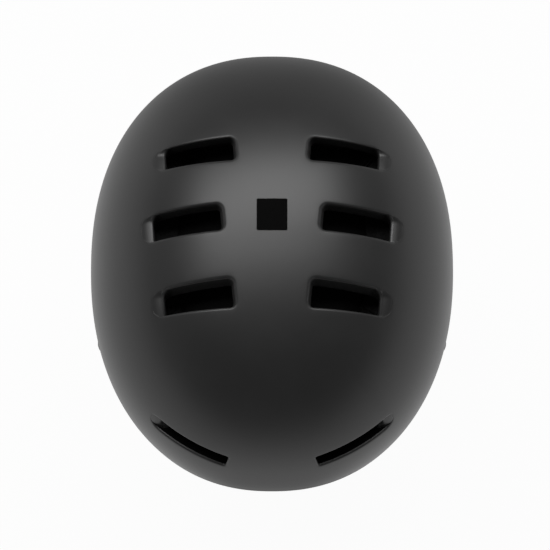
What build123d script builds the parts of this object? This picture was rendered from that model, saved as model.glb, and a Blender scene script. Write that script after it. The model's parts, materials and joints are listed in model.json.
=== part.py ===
from build123d import *
import math
import os

# Skateboard helmet, in millimetres. The wearer faces -Y, +X is the wearer's left, +Z is up.
# The origin is the middle of the head opening, level with the lowest edge of the shell.

# Outer form of the shell
half_width = 115.5
front_length = 140.5
rear_length = 136.3
centre_y = 3.0
crown_height = 165.0
bulge_height = 55.0
side_tuck = 6.0
front_tuck = 2.0
rear_tuck = 16.0
base_drop = 8.0
plan_power = 2.22
crown_power = 2.25
ring_points = 16
seam_angle = 45
lower_height_shares = (0.2, 0.6, 1.0)
upper_angles = (12, 24, 36, 48, 60, 70, 79)

# Walls, gaps and cuts
shell_wall = 2.8
liner_gap = 0.3
liner_thickness = 24.0
cut_overrun = 2.0
fit_gap = 0.15
soft_gap = 0.3

# Rim, as heights of the lower edge along the helmet
front_rim_height = 34.0
side_rim_height = 22.0
front_rim_start = -105.0
front_rim_end = -62.0
rear_rim_start = 30.0
rear_rim_end = 118.0
liner_recess = 2.0

# Vents: each has a moulded well, open through the liner, with a landing at its outer end
vent_depth = 8.0
vent_flange = 2.2
vent_corner = 4.0
vent_bow = 0.7
landing_length = 8.5
top_vents = (
    ((21.0, 59.5), (73.0, 54.5), 16.7, 14.5),
    ((28.3, 16.5), (79.8, 11.0), 17.7, 17.6),
    ((21.2, -29.3), (72.8, -34.6), 19.3, 16.4),
)
slot_height = 12.0
front_slot_inner = (27.0, -124.5, 101.5)
front_slot_tip = (75.0, -97.0, 101.5)
front_slot_rise = 20.0
rear_slot_inner = (26.0, 134.0, 60.0)
rear_slot_tip = (76.0, 108.0, 60.0)
rear_slot_rise = 4.0
vent_reach = 62.0
vent_start = 40.0

# Air grooves along the inside of the liner
groove_width = 13.0
groove_depth = 7.0
groove_x = 47.0
groove_floor_height = 62.0

# Comfort pads
pad_thickness = 7.5
pad_corner = 9.0
pad_edge_thickness = 3.4
pad_ring_shares = (-1.2, -0.6, 0.0, 0.6, 1.2)
pad_seam_width = 1.6
pad_seam_depth = 2.2
front_pad_half = 66.0
front_pad_height = 30.0
front_pad_lift = 7.0
rear_pad_half = 46.0
rear_pad_height = 28.0
rear_pad_lift = 12.0
side_pad_half = 36.0
side_pad_height = 34.0
side_pad_lift = 8.0
crown_pad_half_width = 78.0
crown_pad_half_length = 66.0
crown_pad_y = 18.0
crown_pad_corner = 36.0
patch_radius = 8.0
patch_thickness = 1.0
patch_share = 0.55
front_seam_shares = (-0.5, 0.0, 0.5)
rear_seam_shares = (-0.35, 0.35)
side_seam_shares = (0.0,)
crown_seam_shares = (-0.36, 0.36)

# Webbing and its rivets
web_width = 19.0
web_thickness = 1.5
rivet_head_radius = 4.0
rivet_head_height = 1.6
rivet_seat_gap = 0.1
washer_gap = 0.5
rivet_shank_radius = 1.8
rivet_end_radius = 2.9
rivet_end_height = 1.0
rivet_round_share = 0.9
anchor_pocket_gap = 1.2
washer_radius = 6.0
washer_thickness = 1.0
front_rivet_y = -44.0
front_rivet_height = 40.0
rear_rivet_y = 90.0
rear_rivet_height = 27.0
tab_over_rivet = 11.0
exit_clearance = 2.6
hinge_gap = 0.45
front_exit_shift = -12.0
rear_exit_shift = 12.0

# Strap divider below each ear, in the plane of the hanging straps
divider_top = 76.0
divider_height = 34.0
divider_u = 46.0
divider_top_half = 19.5
divider_bottom_half = 11.0
divider_rail = 3.0
divider_plate = 1.6
divider_bar = 5.0
divider_play = 0.2
divider_flare = 0.5
strap_slot = 2.0
bend_radius = 14.0
lever_thickness = 2.0
lever_pivot_radius = 1.3
lever_pin_radius = 0.9
lever_pin_length = 1.6
lever_side_gap = 0.4
lever_lip = 2.2
running_gap = 0.05

# Chin straps
chin_length = 84.0
chin_double_length = 20.0
chin_gap = 0.7
loop_spread = 2.75

# Buckle
buckle_width = 28.0
buckle_thickness = 10.0
bar_height = 3.2
bar_thickness = 3.4
web_window = 4.2
socket_length = 34.0
socket_wall = 1.8
socket_corner = 3.0
mouth_depth = 21.0
side_window_length = 11.0
side_window_height = 5.0
plug_base_length = 13.0
prong_length = 20.0
prong_width = 3.0
prong_thickness = 4.6
prong_barb = 3.0
barb_shares = (0.55, 0.7)
prong_offset = 7.8
tongue_width = 5.0
tongue_length = 16.0

# Chin pad and strap keeper on the right chin strap
chin_pad_length = 34.0
chin_pad_width = 27.0
chin_pad_thickness = 7.0
chin_pad_sleeve = 1.0
chin_pad_drop = 8.0
keeper_length = 6.0
keeper_wall = 1.2

# Plain square plate glued to the crown
plate_width = 18.3
plate_rear_y = 26.8
plate_front_y = 7.5
plate_glue = 0.1
plate_thickness = 0.5
plate_corner = 0.8

cavity_inset = shell_wall + liner_gap + liner_thickness


def level(z, inset, tucked, drop=0.0):
    """Half width, front length and rear length of the dome at one height."""
    shrink = 1.0
    fall = 0.0
    if z > bulge_height:
        rise = (z - bulge_height) / (crown_height - drop - inset - bulge_height)
        shrink = max(0.0, 1 - rise**crown_power) ** (1 / crown_power)
    elif tucked:
        fall = ((bulge_height - z) / bulge_height) ** 2
    side = (half_width - inset) * shrink - side_tuck * fall
    front = (front_length - inset) * shrink - front_tuck * fall
    rear = (rear_length - inset) * shrink - rear_tuck * fall
    return side, front, rear


def plan_radius(cosine, sine):
    """Radius of the unit plan curve, between a circle and a rounded rectangle."""
    return (abs(cosine) ** plan_power + abs(sine) ** plan_power) ** (-1 / plan_power)


def ring(z, inset, tucked, drop=0.0):
    """Closed plan curve of the dome at one height."""
    side, front, rear = level(z, inset, tucked, drop)
    mean, skew = (front + rear) / 2, (rear - front) / 2
    points = []
    for index in range(ring_points):
        turn = 2 * math.pi * index / ring_points + math.radians(seam_angle)
        radius = plan_radius(math.cos(turn), math.sin(turn))
        across, along = math.cos(turn) * radius, math.sin(turn) * radius
        points.append((side * across, centre_y + mean * along + skew * along**2, z))
    return Wire([Edge.make_spline([Vector(*point) for point in points], periodic=True)])


def dome(inset, tucked=True, drop=0.0):
    """Solid dome, set in from the outer form by a wall's thickness, its crown lowered by a drop."""
    top = crown_height - drop - inset
    rings = [ring(-base_drop, inset, tucked, drop)]
    rings += [ring(share * bulge_height, inset, tucked, drop) for share in lower_height_shares]
    for angle in upper_angles:
        sine, cosine = math.sin(math.radians(angle)), math.cos(math.radians(angle))
        radius = (sine**crown_power + cosine**crown_power) ** (-1 / crown_power)
        height = bulge_height + (top - bulge_height) * sine * radius
        rings.append(ring(height, inset, tucked, drop))
    rings.append(Vertex(0, centre_y, top))
    return Solid.make_loft(rings)


def is_inside(point, inset=0.0):
    """Whether a point lies in the dome."""
    if point.Z >= crown_height - inset:
        return False
    side, front, rear = level(point.Z, inset, True)
    if side <= 0:
        return False
    mean, skew = (front + rear) / 2, (rear - front) / 2
    root = mean**2 + 4 * skew * (point.Y - centre_y)
    if root < 0:
        return False
    along = (math.sqrt(root) - mean) / (2 * skew)
    return abs(point.X / side) ** plan_power + abs(along) ** plan_power < 1


def surface_point(start, direction, inset=0.0):
    """Where a ray from inside the dome leaves it."""
    near, far = 0.0, 2 * (front_length + rear_length)
    for _ in range(50):
        middle = (near + far) / 2
        if is_inside(start + direction * middle, inset):
            near = middle
        else:
            far = middle
    return start + direction * near


def surface_plane(y, z, inset=0.0):
    """Plane on the left wall of the shell: x runs back along the wall, y up it, z outwards."""
    step = web_thickness
    start = Vector(0, y, z)
    outward = Vector(1, 0, 0)
    here = surface_point(start, outward, inset)
    along = surface_point(start + Vector(0, step, 0), outward, inset) - here
    upward = surface_point(start + Vector(0, 0, step), outward, inset) - here
    return Plane(origin=here, x_dir=along, z_dir=along.cross(upward))


def rim_height(y):
    """Height of the shell's lower edge."""
    if y < front_rim_end:
        share = (front_rim_end - max(y, front_rim_start)) / (front_rim_end - front_rim_start)
        rise = front_rim_height - side_rim_height
        return side_rim_height + rise * (3 * share**2 - 2 * share**3)
    share = (min(max(y, rear_rim_start), rear_rim_end) - rear_rim_start) / (rear_rim_end - rear_rim_start)
    return side_rim_height * (1 - 3 * share**2 + 2 * share**3)


def easing_curve(start, end):
    """Cubic curve between two levels, flat at both ends."""
    third = (end[0] - start[0]) / 3
    return Bezier(start, (start[0] + third, start[1]), (end[0] - third, end[1]), end)


def below_rim(lift):
    """Everything below the rim, raised by lift, to cut away."""
    far = front_length + rear_length
    deep = -2 * base_drop
    outline = [
        Line((-far, front_rim_height), (front_rim_start, front_rim_height)),
        easing_curve((front_rim_start, front_rim_height), (front_rim_end, side_rim_height)),
        Line((front_rim_end, side_rim_height), (rear_rim_start, side_rim_height)),
        easing_curve((rear_rim_start, side_rim_height), (rear_rim_end, 0)),
        Line((rear_rim_end, 0), (far, 0)),
        Line((far, 0), (far, deep)),
        Line((far, deep), (-far, deep)),
        Line((-far, deep), (-far, front_rim_height)),
    ]
    face = Plane.YZ * make_face(outline)
    return Pos(0, 0, lift) * extrude(face, 2 * half_width, both=True)


def both_sides(shapes):
    """The left shapes and their mirror images on the right."""
    return shapes + [mirror(shape, about=Plane.YZ) for shape in shapes]


def vent_outline(length, width_inner, width_tip):
    """Rounded four-sided vent with long sides that bow to the rear."""
    middle = (width_inner + width_tip) / 4
    outline = [
        ThreePointArc((0, width_inner / 2), (length / 2, middle + vent_bow), (length, width_tip / 2)),
        Line((length, width_tip / 2), (length, -width_tip / 2)),
        ThreePointArc((length, -width_tip / 2), (length / 2, vent_bow - middle), (0, -width_inner / 2)),
        Line((0, -width_inner / 2), (0, width_inner / 2)),
    ]
    face = make_face(outline)
    return fillet(face.vertices(), vent_corner)


def vent_tools(inner, tip, pull, width_inner, width_tip):
    """Well cutter, flange column and liner column of one vent."""
    inner, tip, pull = Vector(*inner), Vector(*tip), Vector(*pull).normalized()
    inner = surface_point(inner - pull * vent_start, pull)
    tip = surface_point(tip - pull * vent_start, pull)
    run = tip - inner
    along = (run - pull * run.dot(pull)).normalized()
    length = run.dot(along)
    plane = Plane(origin=inner + pull * vent_start, x_dir=along, z_dir=pull)
    outline = vent_outline(length, width_inner, width_tip)

    # Floor of the landing: flush at the tip, a well's depth below the surface at the hole
    edge = length - landing_length
    edge_point = surface_point(inner + along * edge - pull * vent_start, pull)
    tip_height = (tip - plane.origin).dot(pull)
    edge_height = (edge_point - plane.origin).dot(pull) - vent_depth
    side_plane = Plane(origin=plane.origin, x_dir=along, z_dir=-plane.y_dir)
    floor = make_face(Polyline(
        (edge, edge_height),
        (length + vent_flange, tip_height),
        (length + vent_flange, -2 * vent_reach),
        (edge, -2 * vent_reach),
        close=True,
    ))
    kept = side_plane * extrude(floor, width_inner + width_tip, both=True)

    reach = -(vent_start + vent_reach)
    well = extrude(plane * outline, reach) - kept
    flange = extrude(plane * offset(outline, vent_flange), reach)
    channel = extrude(plane * offset(outline, vent_flange + liner_gap), reach)
    return well, flange, channel


def slot_pull(inner, tip, rise):
    """Direction square to a slot's run, raised by an angle."""
    run = Vector(*tip) - Vector(*inner)
    outward = Vector(run.Y, -run.X, 0).normalized()
    if outward.dot(Vector(*inner)) < 0:
        outward = -outward
    lift = math.radians(rise)
    return tuple(outward * math.cos(lift) + Vector(0, 0, math.sin(lift)))


def make_vents():
    """Tools of the ten vents: six on top, two on the forehead and two at the back."""
    sets = []
    for inner, tip, width_inner, width_tip in top_vents:
        start = (inner[0], inner[1], bulge_height + vent_start)
        end = (tip[0], tip[1], bulge_height + vent_start)
        sets.append(vent_tools(start, end, (0, 0, 1), width_inner, width_tip))
    pull = slot_pull(front_slot_inner, front_slot_tip, front_slot_rise)
    sets.append(vent_tools(front_slot_inner, front_slot_tip, pull, slot_height, slot_height))
    pull = slot_pull(rear_slot_inner, rear_slot_tip, rear_slot_rise)
    sets.append(vent_tools(rear_slot_inner, rear_slot_tip, pull, slot_height, slot_height))
    return [both_sides(list(tools)) for tools in zip(*sets)]


class Anchor:
    """Rivet and webbing end on the left wall; the strap leaves the helmet at its exit."""

    def __init__(self, y, z, shift):
        self.plane = surface_plane(y, z)
        self.tab_inset = shell_wall + liner_gap / 2 + web_thickness / 2
        exit_y = self.plane.origin.Y - shift
        low = min(rim_height(exit_y - web_width / 2), rim_height(exit_y + web_width / 2))
        self.exit_z = low - exit_clearance
        start = Vector(0, exit_y, self.exit_z)
        self.exit = surface_point(start, Vector(1, 0, 0), self.tab_inset)
        self.down = self.plane.to_local_coords(self.exit)

    def tab_prism(self, width, extra, depth):
        """Strip along the wall from above the rivet to past the exit."""
        run = Vector(self.down.X, self.down.Y, 0)
        direction = run.normalized()
        top = direction * -(tab_over_rivet + extra)
        end = run + direction * web_width
        middle = (top + end) / 2
        turn = math.degrees(math.atan2(direction.Y, direction.X))
        strip = Pos(middle.X, middle.Y) * Rot(0, 0, turn) * Rectangle((end - top).length, width)
        return extrude(self.plane * strip, depth, both=True)

    def pin(self, radius, top, bottom):
        """Round solid on the rivet's axis between two depths below the shell's surface."""
        return self.plane * (Pos(0, 0, -(top + bottom) / 2) * Cylinder(radius, bottom - top))


front_anchor = Anchor(front_rivet_y, front_rivet_height, front_exit_shift)
rear_anchor = Anchor(rear_rivet_y, rear_rivet_height, rear_exit_shift)


def harness_frame():
    """Plane of the left straps: x back along their hinge line, y up, z outwards."""
    line = rear_anchor.exit - front_anchor.exit
    outward = Vector(line.Y, -line.X, 0)
    return Plane(origin=front_anchor.exit, x_dir=line, z_dir=outward), line.length


harness, exit_distance = harness_frame()


def strap(points, thickness_offset):
    """Flat webbing along a bent line in the harness plane, cut off below the hinge line."""
    path = FilletPolyline(*points, radius=bend_radius)
    face = trace(path, web_width)
    face = Pos(0, 0, thickness_offset) * face
    body = extrude(face, web_thickness / 2, both=True)
    tall = 2 * divider_top
    above = Pos(points[0][0], tall / 2 - hinge_gap, 0) * Box(4 * web_width, tall, 4 * web_width)

    # The outer layer's top edge is bevelled, which clears the rim as the strap swings out
    start = web_thickness / 2 - fit_gap
    bevel = make_face(Polyline(
        (-hinge_gap, start),
        (-hinge_gap - 2 * web_thickness, start + web_thickness),
        (-hinge_gap, start + web_thickness),
        close=True,
    ))
    return body - above - extrude(Plane.YZ * bevel, 2 * exit_distance, both=True)


def make_straps():
    """Front and rear strap of the left side, which overlap in the divider."""
    layer = web_thickness / 2 + fit_gap
    end = -(divider_top + divider_height - chin_gap)
    entry = -(divider_top + strap_slot)
    front_bend = (divider_u - strap_slot, entry)
    rear_bend = (divider_u + strap_slot, entry)
    slope = front_bend[0] / -front_bend[1]
    front = strap([(-slope * web_width, web_width), front_bend, (divider_u, end)], layer)
    slope = (exit_distance - rear_bend[0]) / -rear_bend[1]
    start = (exit_distance + slope * web_width, web_width)
    rear = strap([start, rear_bend, (divider_u, end)], -layer)
    return front, rear


half_slot = web_thickness + fit_gap + divider_play
lever_top = -divider_top - divider_bar
lever_pivot_v = lever_top - lever_pivot_radius - lever_side_gap
lever_pivot_w = half_slot + lever_pivot_radius + running_gap


def make_divider():
    """Open frame of the strap divider and its locking lever, in the harness plane."""
    top, bottom = -divider_top, -(divider_top + divider_height)
    depth = half_slot + divider_plate
    outline = Polyline(
        (divider_u - divider_top_half - divider_rail, top),
        (divider_u + divider_top_half + divider_rail, top),
        (divider_u + divider_bottom_half + divider_rail, bottom),
        (divider_u - divider_bottom_half - divider_rail, bottom),
        close=True,
    )
    face = fillet(make_face(outline).vertices(), divider_rail)
    frame = extrude(face, depth, both=True)
    passage = Polyline(
        (divider_u - divider_top_half - divider_flare, top + cut_overrun),
        (divider_u + divider_top_half + divider_flare, top + cut_overrun),
        (divider_u + divider_bottom_half, bottom - cut_overrun),
        (divider_u - divider_bottom_half, bottom - cut_overrun),
        close=True,
    )
    frame -= extrude(make_face(passage), half_slot, both=True)
    lever_bottom = bottom + divider_bar
    lever_half = divider_bottom_half
    middle = (lever_top + lever_bottom) / 2
    opening = Pos(divider_u, middle, depth) * Box(2 * lever_half, lever_top - lever_bottom, 2 * depth)
    frame -= opening
    axis = Location((divider_u, lever_pivot_v, lever_pivot_w), (0, 90, 0))
    pin_reach = 2 * (lever_half - lever_side_gap + lever_pin_length)
    hole = Cylinder(lever_pin_radius + running_gap, pin_reach + 2 * running_gap)
    frame -= axis * hole

    # Lever: a plate on a round pivot, with a raised lip for a finger at its lower end
    low = lever_bottom + lever_side_gap
    back = half_slot + running_gap * 2
    plate = Polyline(
        (lever_pivot_v, back),
        (low, back),
        (low, back + lever_thickness + lever_lip),
        (low + lever_thickness, back + lever_thickness + lever_lip),
        (low + 2 * lever_thickness, back + lever_thickness),
        (lever_pivot_v, back + lever_thickness),
        close=True,
    )
    width = 2 * (lever_half - lever_side_gap)
    profile = make_face(plate) + Pos(lever_pivot_v, lever_pivot_w) * Circle(lever_pivot_radius)
    lever = Pos(divider_u - width / 2, 0, 0) * extrude(Plane.YZ * profile, width)
    lever += axis * Cylinder(lever_pin_radius, pin_reach)
    return frame, lever


chin_top = -(divider_top + divider_height + chin_gap / 2)
chin_start = chin_top - chin_gap / 2
buckle_top = chin_start - chin_length
double_low = buckle_top + 4 * loop_spread
double_high = double_low + chin_double_length


def make_chin_strap():
    """Chin webbing with its end turned round the buckle's bar and sewn back along itself."""
    under_bar = buckle_top - bar_height - web_window / 2
    spread_at = buckle_top + 2 * loop_spread
    sewn = web_thickness - fit_gap
    path = FilletPolyline(
        (chin_start, 0),
        (double_low, 0),
        (spread_at, -loop_spread),
        (under_bar, -loop_spread),
        (under_bar, loop_spread),
        (spread_at, loop_spread),
        (double_low, sewn),
        (double_high, sewn),
        radius=web_thickness / 2 + fit_gap,
    )
    strips = [trace(edge, web_thickness) for edge in path.edges()]
    face = Plane.YZ * (Sketch() + strips)
    return Pos(divider_u - web_width / 2, 0, 0) * extrude(face, web_width)


def buckle_body(length):
    """Rounded block of a buckle half, with the webbing bar across its top."""
    bottom = buckle_top - length
    block = Pos(divider_u, (buckle_top + bottom) / 2, 0) * Box(buckle_width, length, buckle_thickness)
    block = fillet(block.edges().filter_by(Axis.Z), socket_corner)
    rims = block.faces().filter_by(Axis.Z).edges()
    block = chamfer(rims, socket_wall / 2)
    window_v = buckle_top - bar_height - web_window / 2
    window = Pos(divider_u, window_v, 0) * Box(web_width + 2 * soft_gap, web_window, 2 * buckle_thickness)
    block -= window
    relief = (buckle_thickness - bar_thickness) / 2
    for side in (-1, 1):
        cut = Box(web_width + 2 * soft_gap, bar_height + 2 * cut_overrun, relief)
        cut_w = side * (bar_thickness + relief) / 2
        block -= Pos(divider_u, buckle_top - bar_height / 2 + cut_overrun, cut_w) * cut
    return block


def make_socket():
    """Buckle socket: hollow, open at the bottom, with a window in each side for the prongs."""
    block = buckle_body(socket_length)
    bottom = buckle_top - socket_length
    hollow_width = buckle_width - 2 * socket_wall
    hollow_height = buckle_thickness - 2 * socket_wall
    hollow = Box(hollow_width, mouth_depth + cut_overrun, hollow_height)
    block -= Pos(divider_u, bottom + (mouth_depth - cut_overrun) / 2, 0) * hollow
    window_v = bottom + mouth_depth - side_window_length / 2 - socket_wall
    window = Box(2 * buckle_width, side_window_length, side_window_height)
    block -= Pos(divider_u, window_v, 0) * window
    return block


def make_plug():
    """Buckle plug: webbing bar, shoulder and middle tongue."""
    block = buckle_body(plug_base_length)
    shoulder = buckle_top - plug_base_length
    tongue = Box(tongue_width, tongue_length + cut_overrun, prong_thickness)
    block += Pos(divider_u, shoulder - (tongue_length - cut_overrun) / 2, 0) * tongue
    return block


def make_prong(side):
    """Sprung prong with the barb that catches in the socket; side is -1 in front, 1 behind."""
    root = buckle_top - plug_base_length - soft_gap
    tip = root - prong_length
    inner, outer = prong_offset - prong_width / 2, prong_offset + prong_width / 2
    barb_start, barb_end = (root - prong_length * share for share in barb_shares)
    outline = Polyline(
        (inner, root),
        (outer, root),
        (outer, barb_start),
        (outer + prong_barb, barb_start),
        (outer + prong_barb, barb_end),
        (outer - prong_width / 3, tip),
        (inner, tip),
        close=True,
    )
    face = make_face(outline)
    if side < 0:
        face = mirror(face, about=Plane.YZ)
    return Pos(divider_u, 0, 0) * extrude(face, prong_thickness / 2, both=True)


def make_chin_pad():
    """Soft chin pad with the sleeve that the webbing slides through."""
    top = chin_start - chin_pad_drop
    slot = web_thickness / 2 + soft_gap
    inner_w, outer_w = -(slot + chin_pad_thickness), slot + chin_pad_sleeve
    middle_v = top - chin_pad_length / 2
    block = Box(chin_pad_width, chin_pad_length, outer_w - inner_w)
    block = Pos(divider_u, middle_v, (inner_w + outer_w) / 2) * block
    block = fillet(block.edges().filter_by(Axis.Z), chin_pad_width / 4)
    block = fillet(block.faces().sort_by(Axis.Z)[0].edges(), chin_pad_thickness / 2)
    sleeve = Box(web_width + 2 * soft_gap, 2 * chin_pad_length, 2 * slot)
    return block - Pos(divider_u, middle_v, 0) * sleeve


def make_keeper():
    """Elastic ring round the doubled webbing."""
    inner_low, inner_high = -(web_thickness / 2 + soft_gap), 1.5 * web_thickness + soft_gap
    middle_w = (inner_low + inner_high) / 2
    hole = Box(web_width + 2 * soft_gap, 2 * keeper_length, inner_high - inner_low)
    wall = 2 * (soft_gap + keeper_wall)
    band = Box(web_width + wall, keeper_length, inner_high - inner_low + 2 * keeper_wall)
    band = fillet(band.edges().filter_by(Axis.Y), keeper_wall)
    middle_v = (double_low + double_high) / 2
    return Pos(divider_u, middle_v, middle_w) * (band - hole)


def pad_back():
    """Space inside the liner that the pads' backs bound."""
    return dome(cavity_inset + soft_gap, tucked=False)


def pad_face_core(low, high, relief):
    """Space on the head's side of a pad that is thickest at its middle height."""
    middle, half = (low + high) / 2, (high - low) / 2
    rings = []
    for share in pad_ring_shares:
        swell = pad_edge_thickness + (pad_thickness - pad_edge_thickness) * (1 - share**2)
        inset = cavity_inset + soft_gap + swell - relief
        rings.append(ring(middle + share * half, inset, False))
    return Solid.make_loft(rings)


def make_wall_pad(plane, half_length, low, high, seam_shares):
    """Pad on the liner's wall: rounded ends, a crowned face and pressed upright seams."""
    height = high - low
    outline = Pos(0, (low + high) / 2) * RectangleRounded(2 * half_length, height, pad_corner)
    pad = (pad_back() & extrude(plane * outline, 2 * front_length)) - pad_face_core(low, high, 0)
    groove = pad_face_core(low, high, pad_seam_depth)
    for share in seam_shares:
        seam = Pos(share * half_length, (low + high) / 2) * Rectangle(pad_seam_width, 2 * height)
        pad -= groove & extrude(plane * seam, 2 * front_length)
    return pad.solid()


def make_crown_pad():
    """Wide pad under the top vents, thickest at the crown and thinner towards its edge."""
    inset = cavity_inset + soft_gap
    swell = pad_thickness - pad_edge_thickness
    size = (2 * crown_pad_half_width, 2 * crown_pad_half_length)
    outline = Pos(0, crown_pad_y) * RectangleRounded(*size, crown_pad_corner)
    face = dome(inset + pad_edge_thickness, tucked=False, drop=swell)
    pad = (pad_back() & extrude(outline, crown_height)) - face
    groove = dome(inset + pad_edge_thickness - pad_seam_depth, tucked=False, drop=swell)
    for share in crown_seam_shares:
        middle = (share * crown_pad_half_width, crown_pad_y)
        seam = Pos(*middle) * Rectangle(pad_seam_width, 2 * crown_pad_half_length)
        pad -= groove & extrude(seam, crown_height)
    return pad.solid()


def make_pads():
    """Front, rear, side and crown pads, and the hook patches that hold them to the liner."""
    front_low = front_rim_height + front_pad_lift
    side_low = side_rim_height + side_pad_lift
    front_face = Plane(origin=(0, 0, 0), x_dir=(1, 0, 0), z_dir=(0, -1, 0))
    rear_face = Plane(origin=(0, 0, 0), x_dir=(-1, 0, 0), z_dir=(0, 1, 0))
    top_face = Plane(origin=(0, crown_pad_y, 0), x_dir=(0, 1, 0), z_dir=(0, 0, 1))
    walls = {
        "front_pad": (front_face, front_pad_half, front_low, front_low + front_pad_height),
        "rear_pad": (rear_face, rear_pad_half, rear_pad_lift, rear_pad_lift + rear_pad_height),
        "side_pad_left": (Plane.YZ, side_pad_half, side_low, side_low + side_pad_height),
    }
    seams = {"front_pad": front_seam_shares, "rear_pad": rear_seam_shares, "side_pad_left": side_seam_shares}
    parts = {name: make_wall_pad(*values, seams[name]) for name, values in walls.items()}
    parts["side_pad_right"] = mirror(parts["side_pad_left"], about=Plane.YZ)
    parts["crown_pad"] = make_crown_pad()
    spots = {name: (values[0], values[1], (values[2] + values[3]) / 2) for name, values in walls.items()}
    spots["crown_pad"] = (top_face, crown_pad_half_length, 0)

    discs, seats = [], []
    for name, (plane, half_length, height) in spots.items():
        for side in (-1, 1):
            spot = (side * patch_share * half_length, height)
            disc = extrude(plane * (Pos(*spot) * Circle(patch_radius)), 2 * front_length)
            seat = extrude(plane * (Pos(*spot) * Circle(patch_radius + fit_gap)), 2 * front_length)
            pair = both_sides([disc]) if name.endswith("left") else [disc]
            discs += pair
            seats += both_sides([seat]) if name.endswith("left") else [seat]
    floor = cavity_inset - patch_thickness
    space = dome(floor + running_gap, tucked=False) - dome(cavity_inset, tucked=False)
    patches = [space & disc for disc in discs]
    parts["pad_hook_patches"] = Compound(children=[patch.solid() for patch in patches])
    pockets = [dome(floor, tucked=False) & seat for seat in seats]
    return parts, pockets


def make_shell_and_liner():
    """Hard shell with its vent wells, and the foam liner with channels that line up with them."""
    wells, flanges, channels = make_vents()
    bosses = [flange - dome(vent_depth + shell_wall) for flange in flanges]
    hollow = dome(shell_wall) - bosses
    shell = dome(0) - hollow - wells - below_rim(0)
    liner = dome(shell_wall + liner_gap) - dome(cavity_inset, tucked=False)
    liner = liner - channels - below_rim(liner_recess)
    groove = dome(cavity_inset - groove_depth, tucked=False)
    groove_top = crown_height - groove_floor_height
    for side in (-1, 1):
        slab = Box(groove_width, 4 * front_length, groove_top)
        liner -= groove & (Pos(side * groove_x, 0, groove_floor_height + groove_top / 2) * slab)
    return shell, liner


def make_crown_plate():
    """Thin square plate that follows the crown."""
    skin = dome(-plate_glue - plate_thickness) - dome(-plate_glue)
    block = Box(plate_width, plate_rear_y - plate_front_y, crown_height)
    block = fillet(block.edges().filter_by(Axis.Z), plate_corner)
    return skin & (Pos(0, (plate_rear_y + plate_front_y) / 2, crown_height) * block)


def make_anchors(shell, liner):
    """Rivets, washers and webbing ends, and their seats in the shell and the liner."""
    tab_space = dome(shell_wall + liner_gap / 2) - dome(shell_wall + liner_gap / 2 + web_thickness)
    far = 4 * divider_top
    below_hinge = harness * (Pos(0, -far / 2 + hinge_gap, 0) * Box(2 * far, far, far))
    tabs = {}
    rivets, washers, holes, pockets = [], [], [], []
    tab_back = shell_wall + liner_gap / 2 + web_thickness
    washer_top = tab_back + washer_gap
    washer_back = washer_top + washer_thickness
    rivet_back = washer_back + rivet_end_height
    pocket_back = rivet_back + soft_gap
    pocket = dome(shell_wall) - dome(pocket_back)
    for name, anchor in (("front", front_anchor), ("rear", rear_anchor)):
        tab = tab_space & anchor.tab_prism(web_width, 0, 2 * vent_depth)
        tab = tab - below_hinge - anchor.pin(rivet_shank_radius + running_gap, -vent_depth, vent_depth * 2)
        tabs[f"{name}_strap_anchor_left"] = tab
        head = anchor.pin(rivet_head_radius, -rivet_head_height - rivet_seat_gap, -rivet_seat_gap)
        rims = head.edges().filter_by(GeomType.CIRCLE).sort_by_distance(anchor.plane.origin)
        head = fillet(rims[-1:], rivet_head_height * rivet_round_share)
        shank = anchor.pin(rivet_shank_radius, -cut_overrun / 2, washer_back)
        end = anchor.pin(rivet_end_radius, washer_back, rivet_back)
        rivets.append(head + shank + end)
        washer = anchor.pin(washer_radius, washer_top, washer_back)
        washers.append(washer - anchor.pin(rivet_shank_radius + running_gap, 0, vent_depth * 2))
        holes.append(anchor.pin(rivet_shank_radius + running_gap, -vent_depth, vent_depth))
        slot_width = web_width + anchor_pocket_gap
        pockets.append(pocket & anchor.tab_prism(slot_width, anchor_pocket_gap, 3 * vent_depth))
        pockets.append(anchor.pin(washer_radius + soft_gap, 0, pocket_back + soft_gap))
    shell -= both_sides(holes)
    liner -= both_sides(pockets)
    for name in list(tabs):
        tabs[name.replace("left", "right")] = mirror(tabs[name], about=Plane.YZ)
    parts = {
        "outer_shell": shell,
        "foam_liner": liner,
        "strap_rivets": Compound(children=both_sides(rivets)),
        "rivet_washers": Compound(children=both_sides(washers)),
    }
    parts.update(tabs)
    return parts


def make_harness():
    """Straps, dividers, chin straps, buckle, chin pad and keeper."""
    left = {}
    left["front_strap_left"], left["rear_strap_left"] = make_straps()
    left["strap_divider_left"], left["divider_lever_left"] = make_divider()
    right = {name.replace("left", "right"): shape for name, shape in left.items()}
    left["chin_strap_left"] = make_chin_strap()
    left["buckle_socket"] = make_socket()
    right["chin_strap_right"] = make_chin_strap()
    right["buckle_plug"] = make_plug()
    right["buckle_prong_front"] = make_prong(-1)
    right["buckle_prong_rear"] = make_prong(1)
    right["chin_pad"] = make_chin_pad()
    right["strap_keeper"] = make_keeper()
    parts = {name: harness * shape for name, shape in left.items()}
    for name, shape in right.items():
        parts[name] = mirror(harness * shape, about=Plane.YZ)
    return parts


def main():
    shell, liner = make_shell_and_liner()
    pads, pockets = make_pads()
    parts = make_anchors(shell, liner - pockets)
    parts["crown_plate"] = make_crown_plate()
    parts.update(pads)
    parts.update(make_harness())
    os.makedirs("parts", exist_ok=True)
    for name, shape in parts.items():
        export_step(shape, f"parts/{name}.step")
        print(name, len(shape.solids()), round(shape.volume))


main()
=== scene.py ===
from functools import partial
import json
import math

import bmesh
import bpy
import numpy as np
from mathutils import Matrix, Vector
from mathutils.geometry import delaunay_2d_cdt

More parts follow.
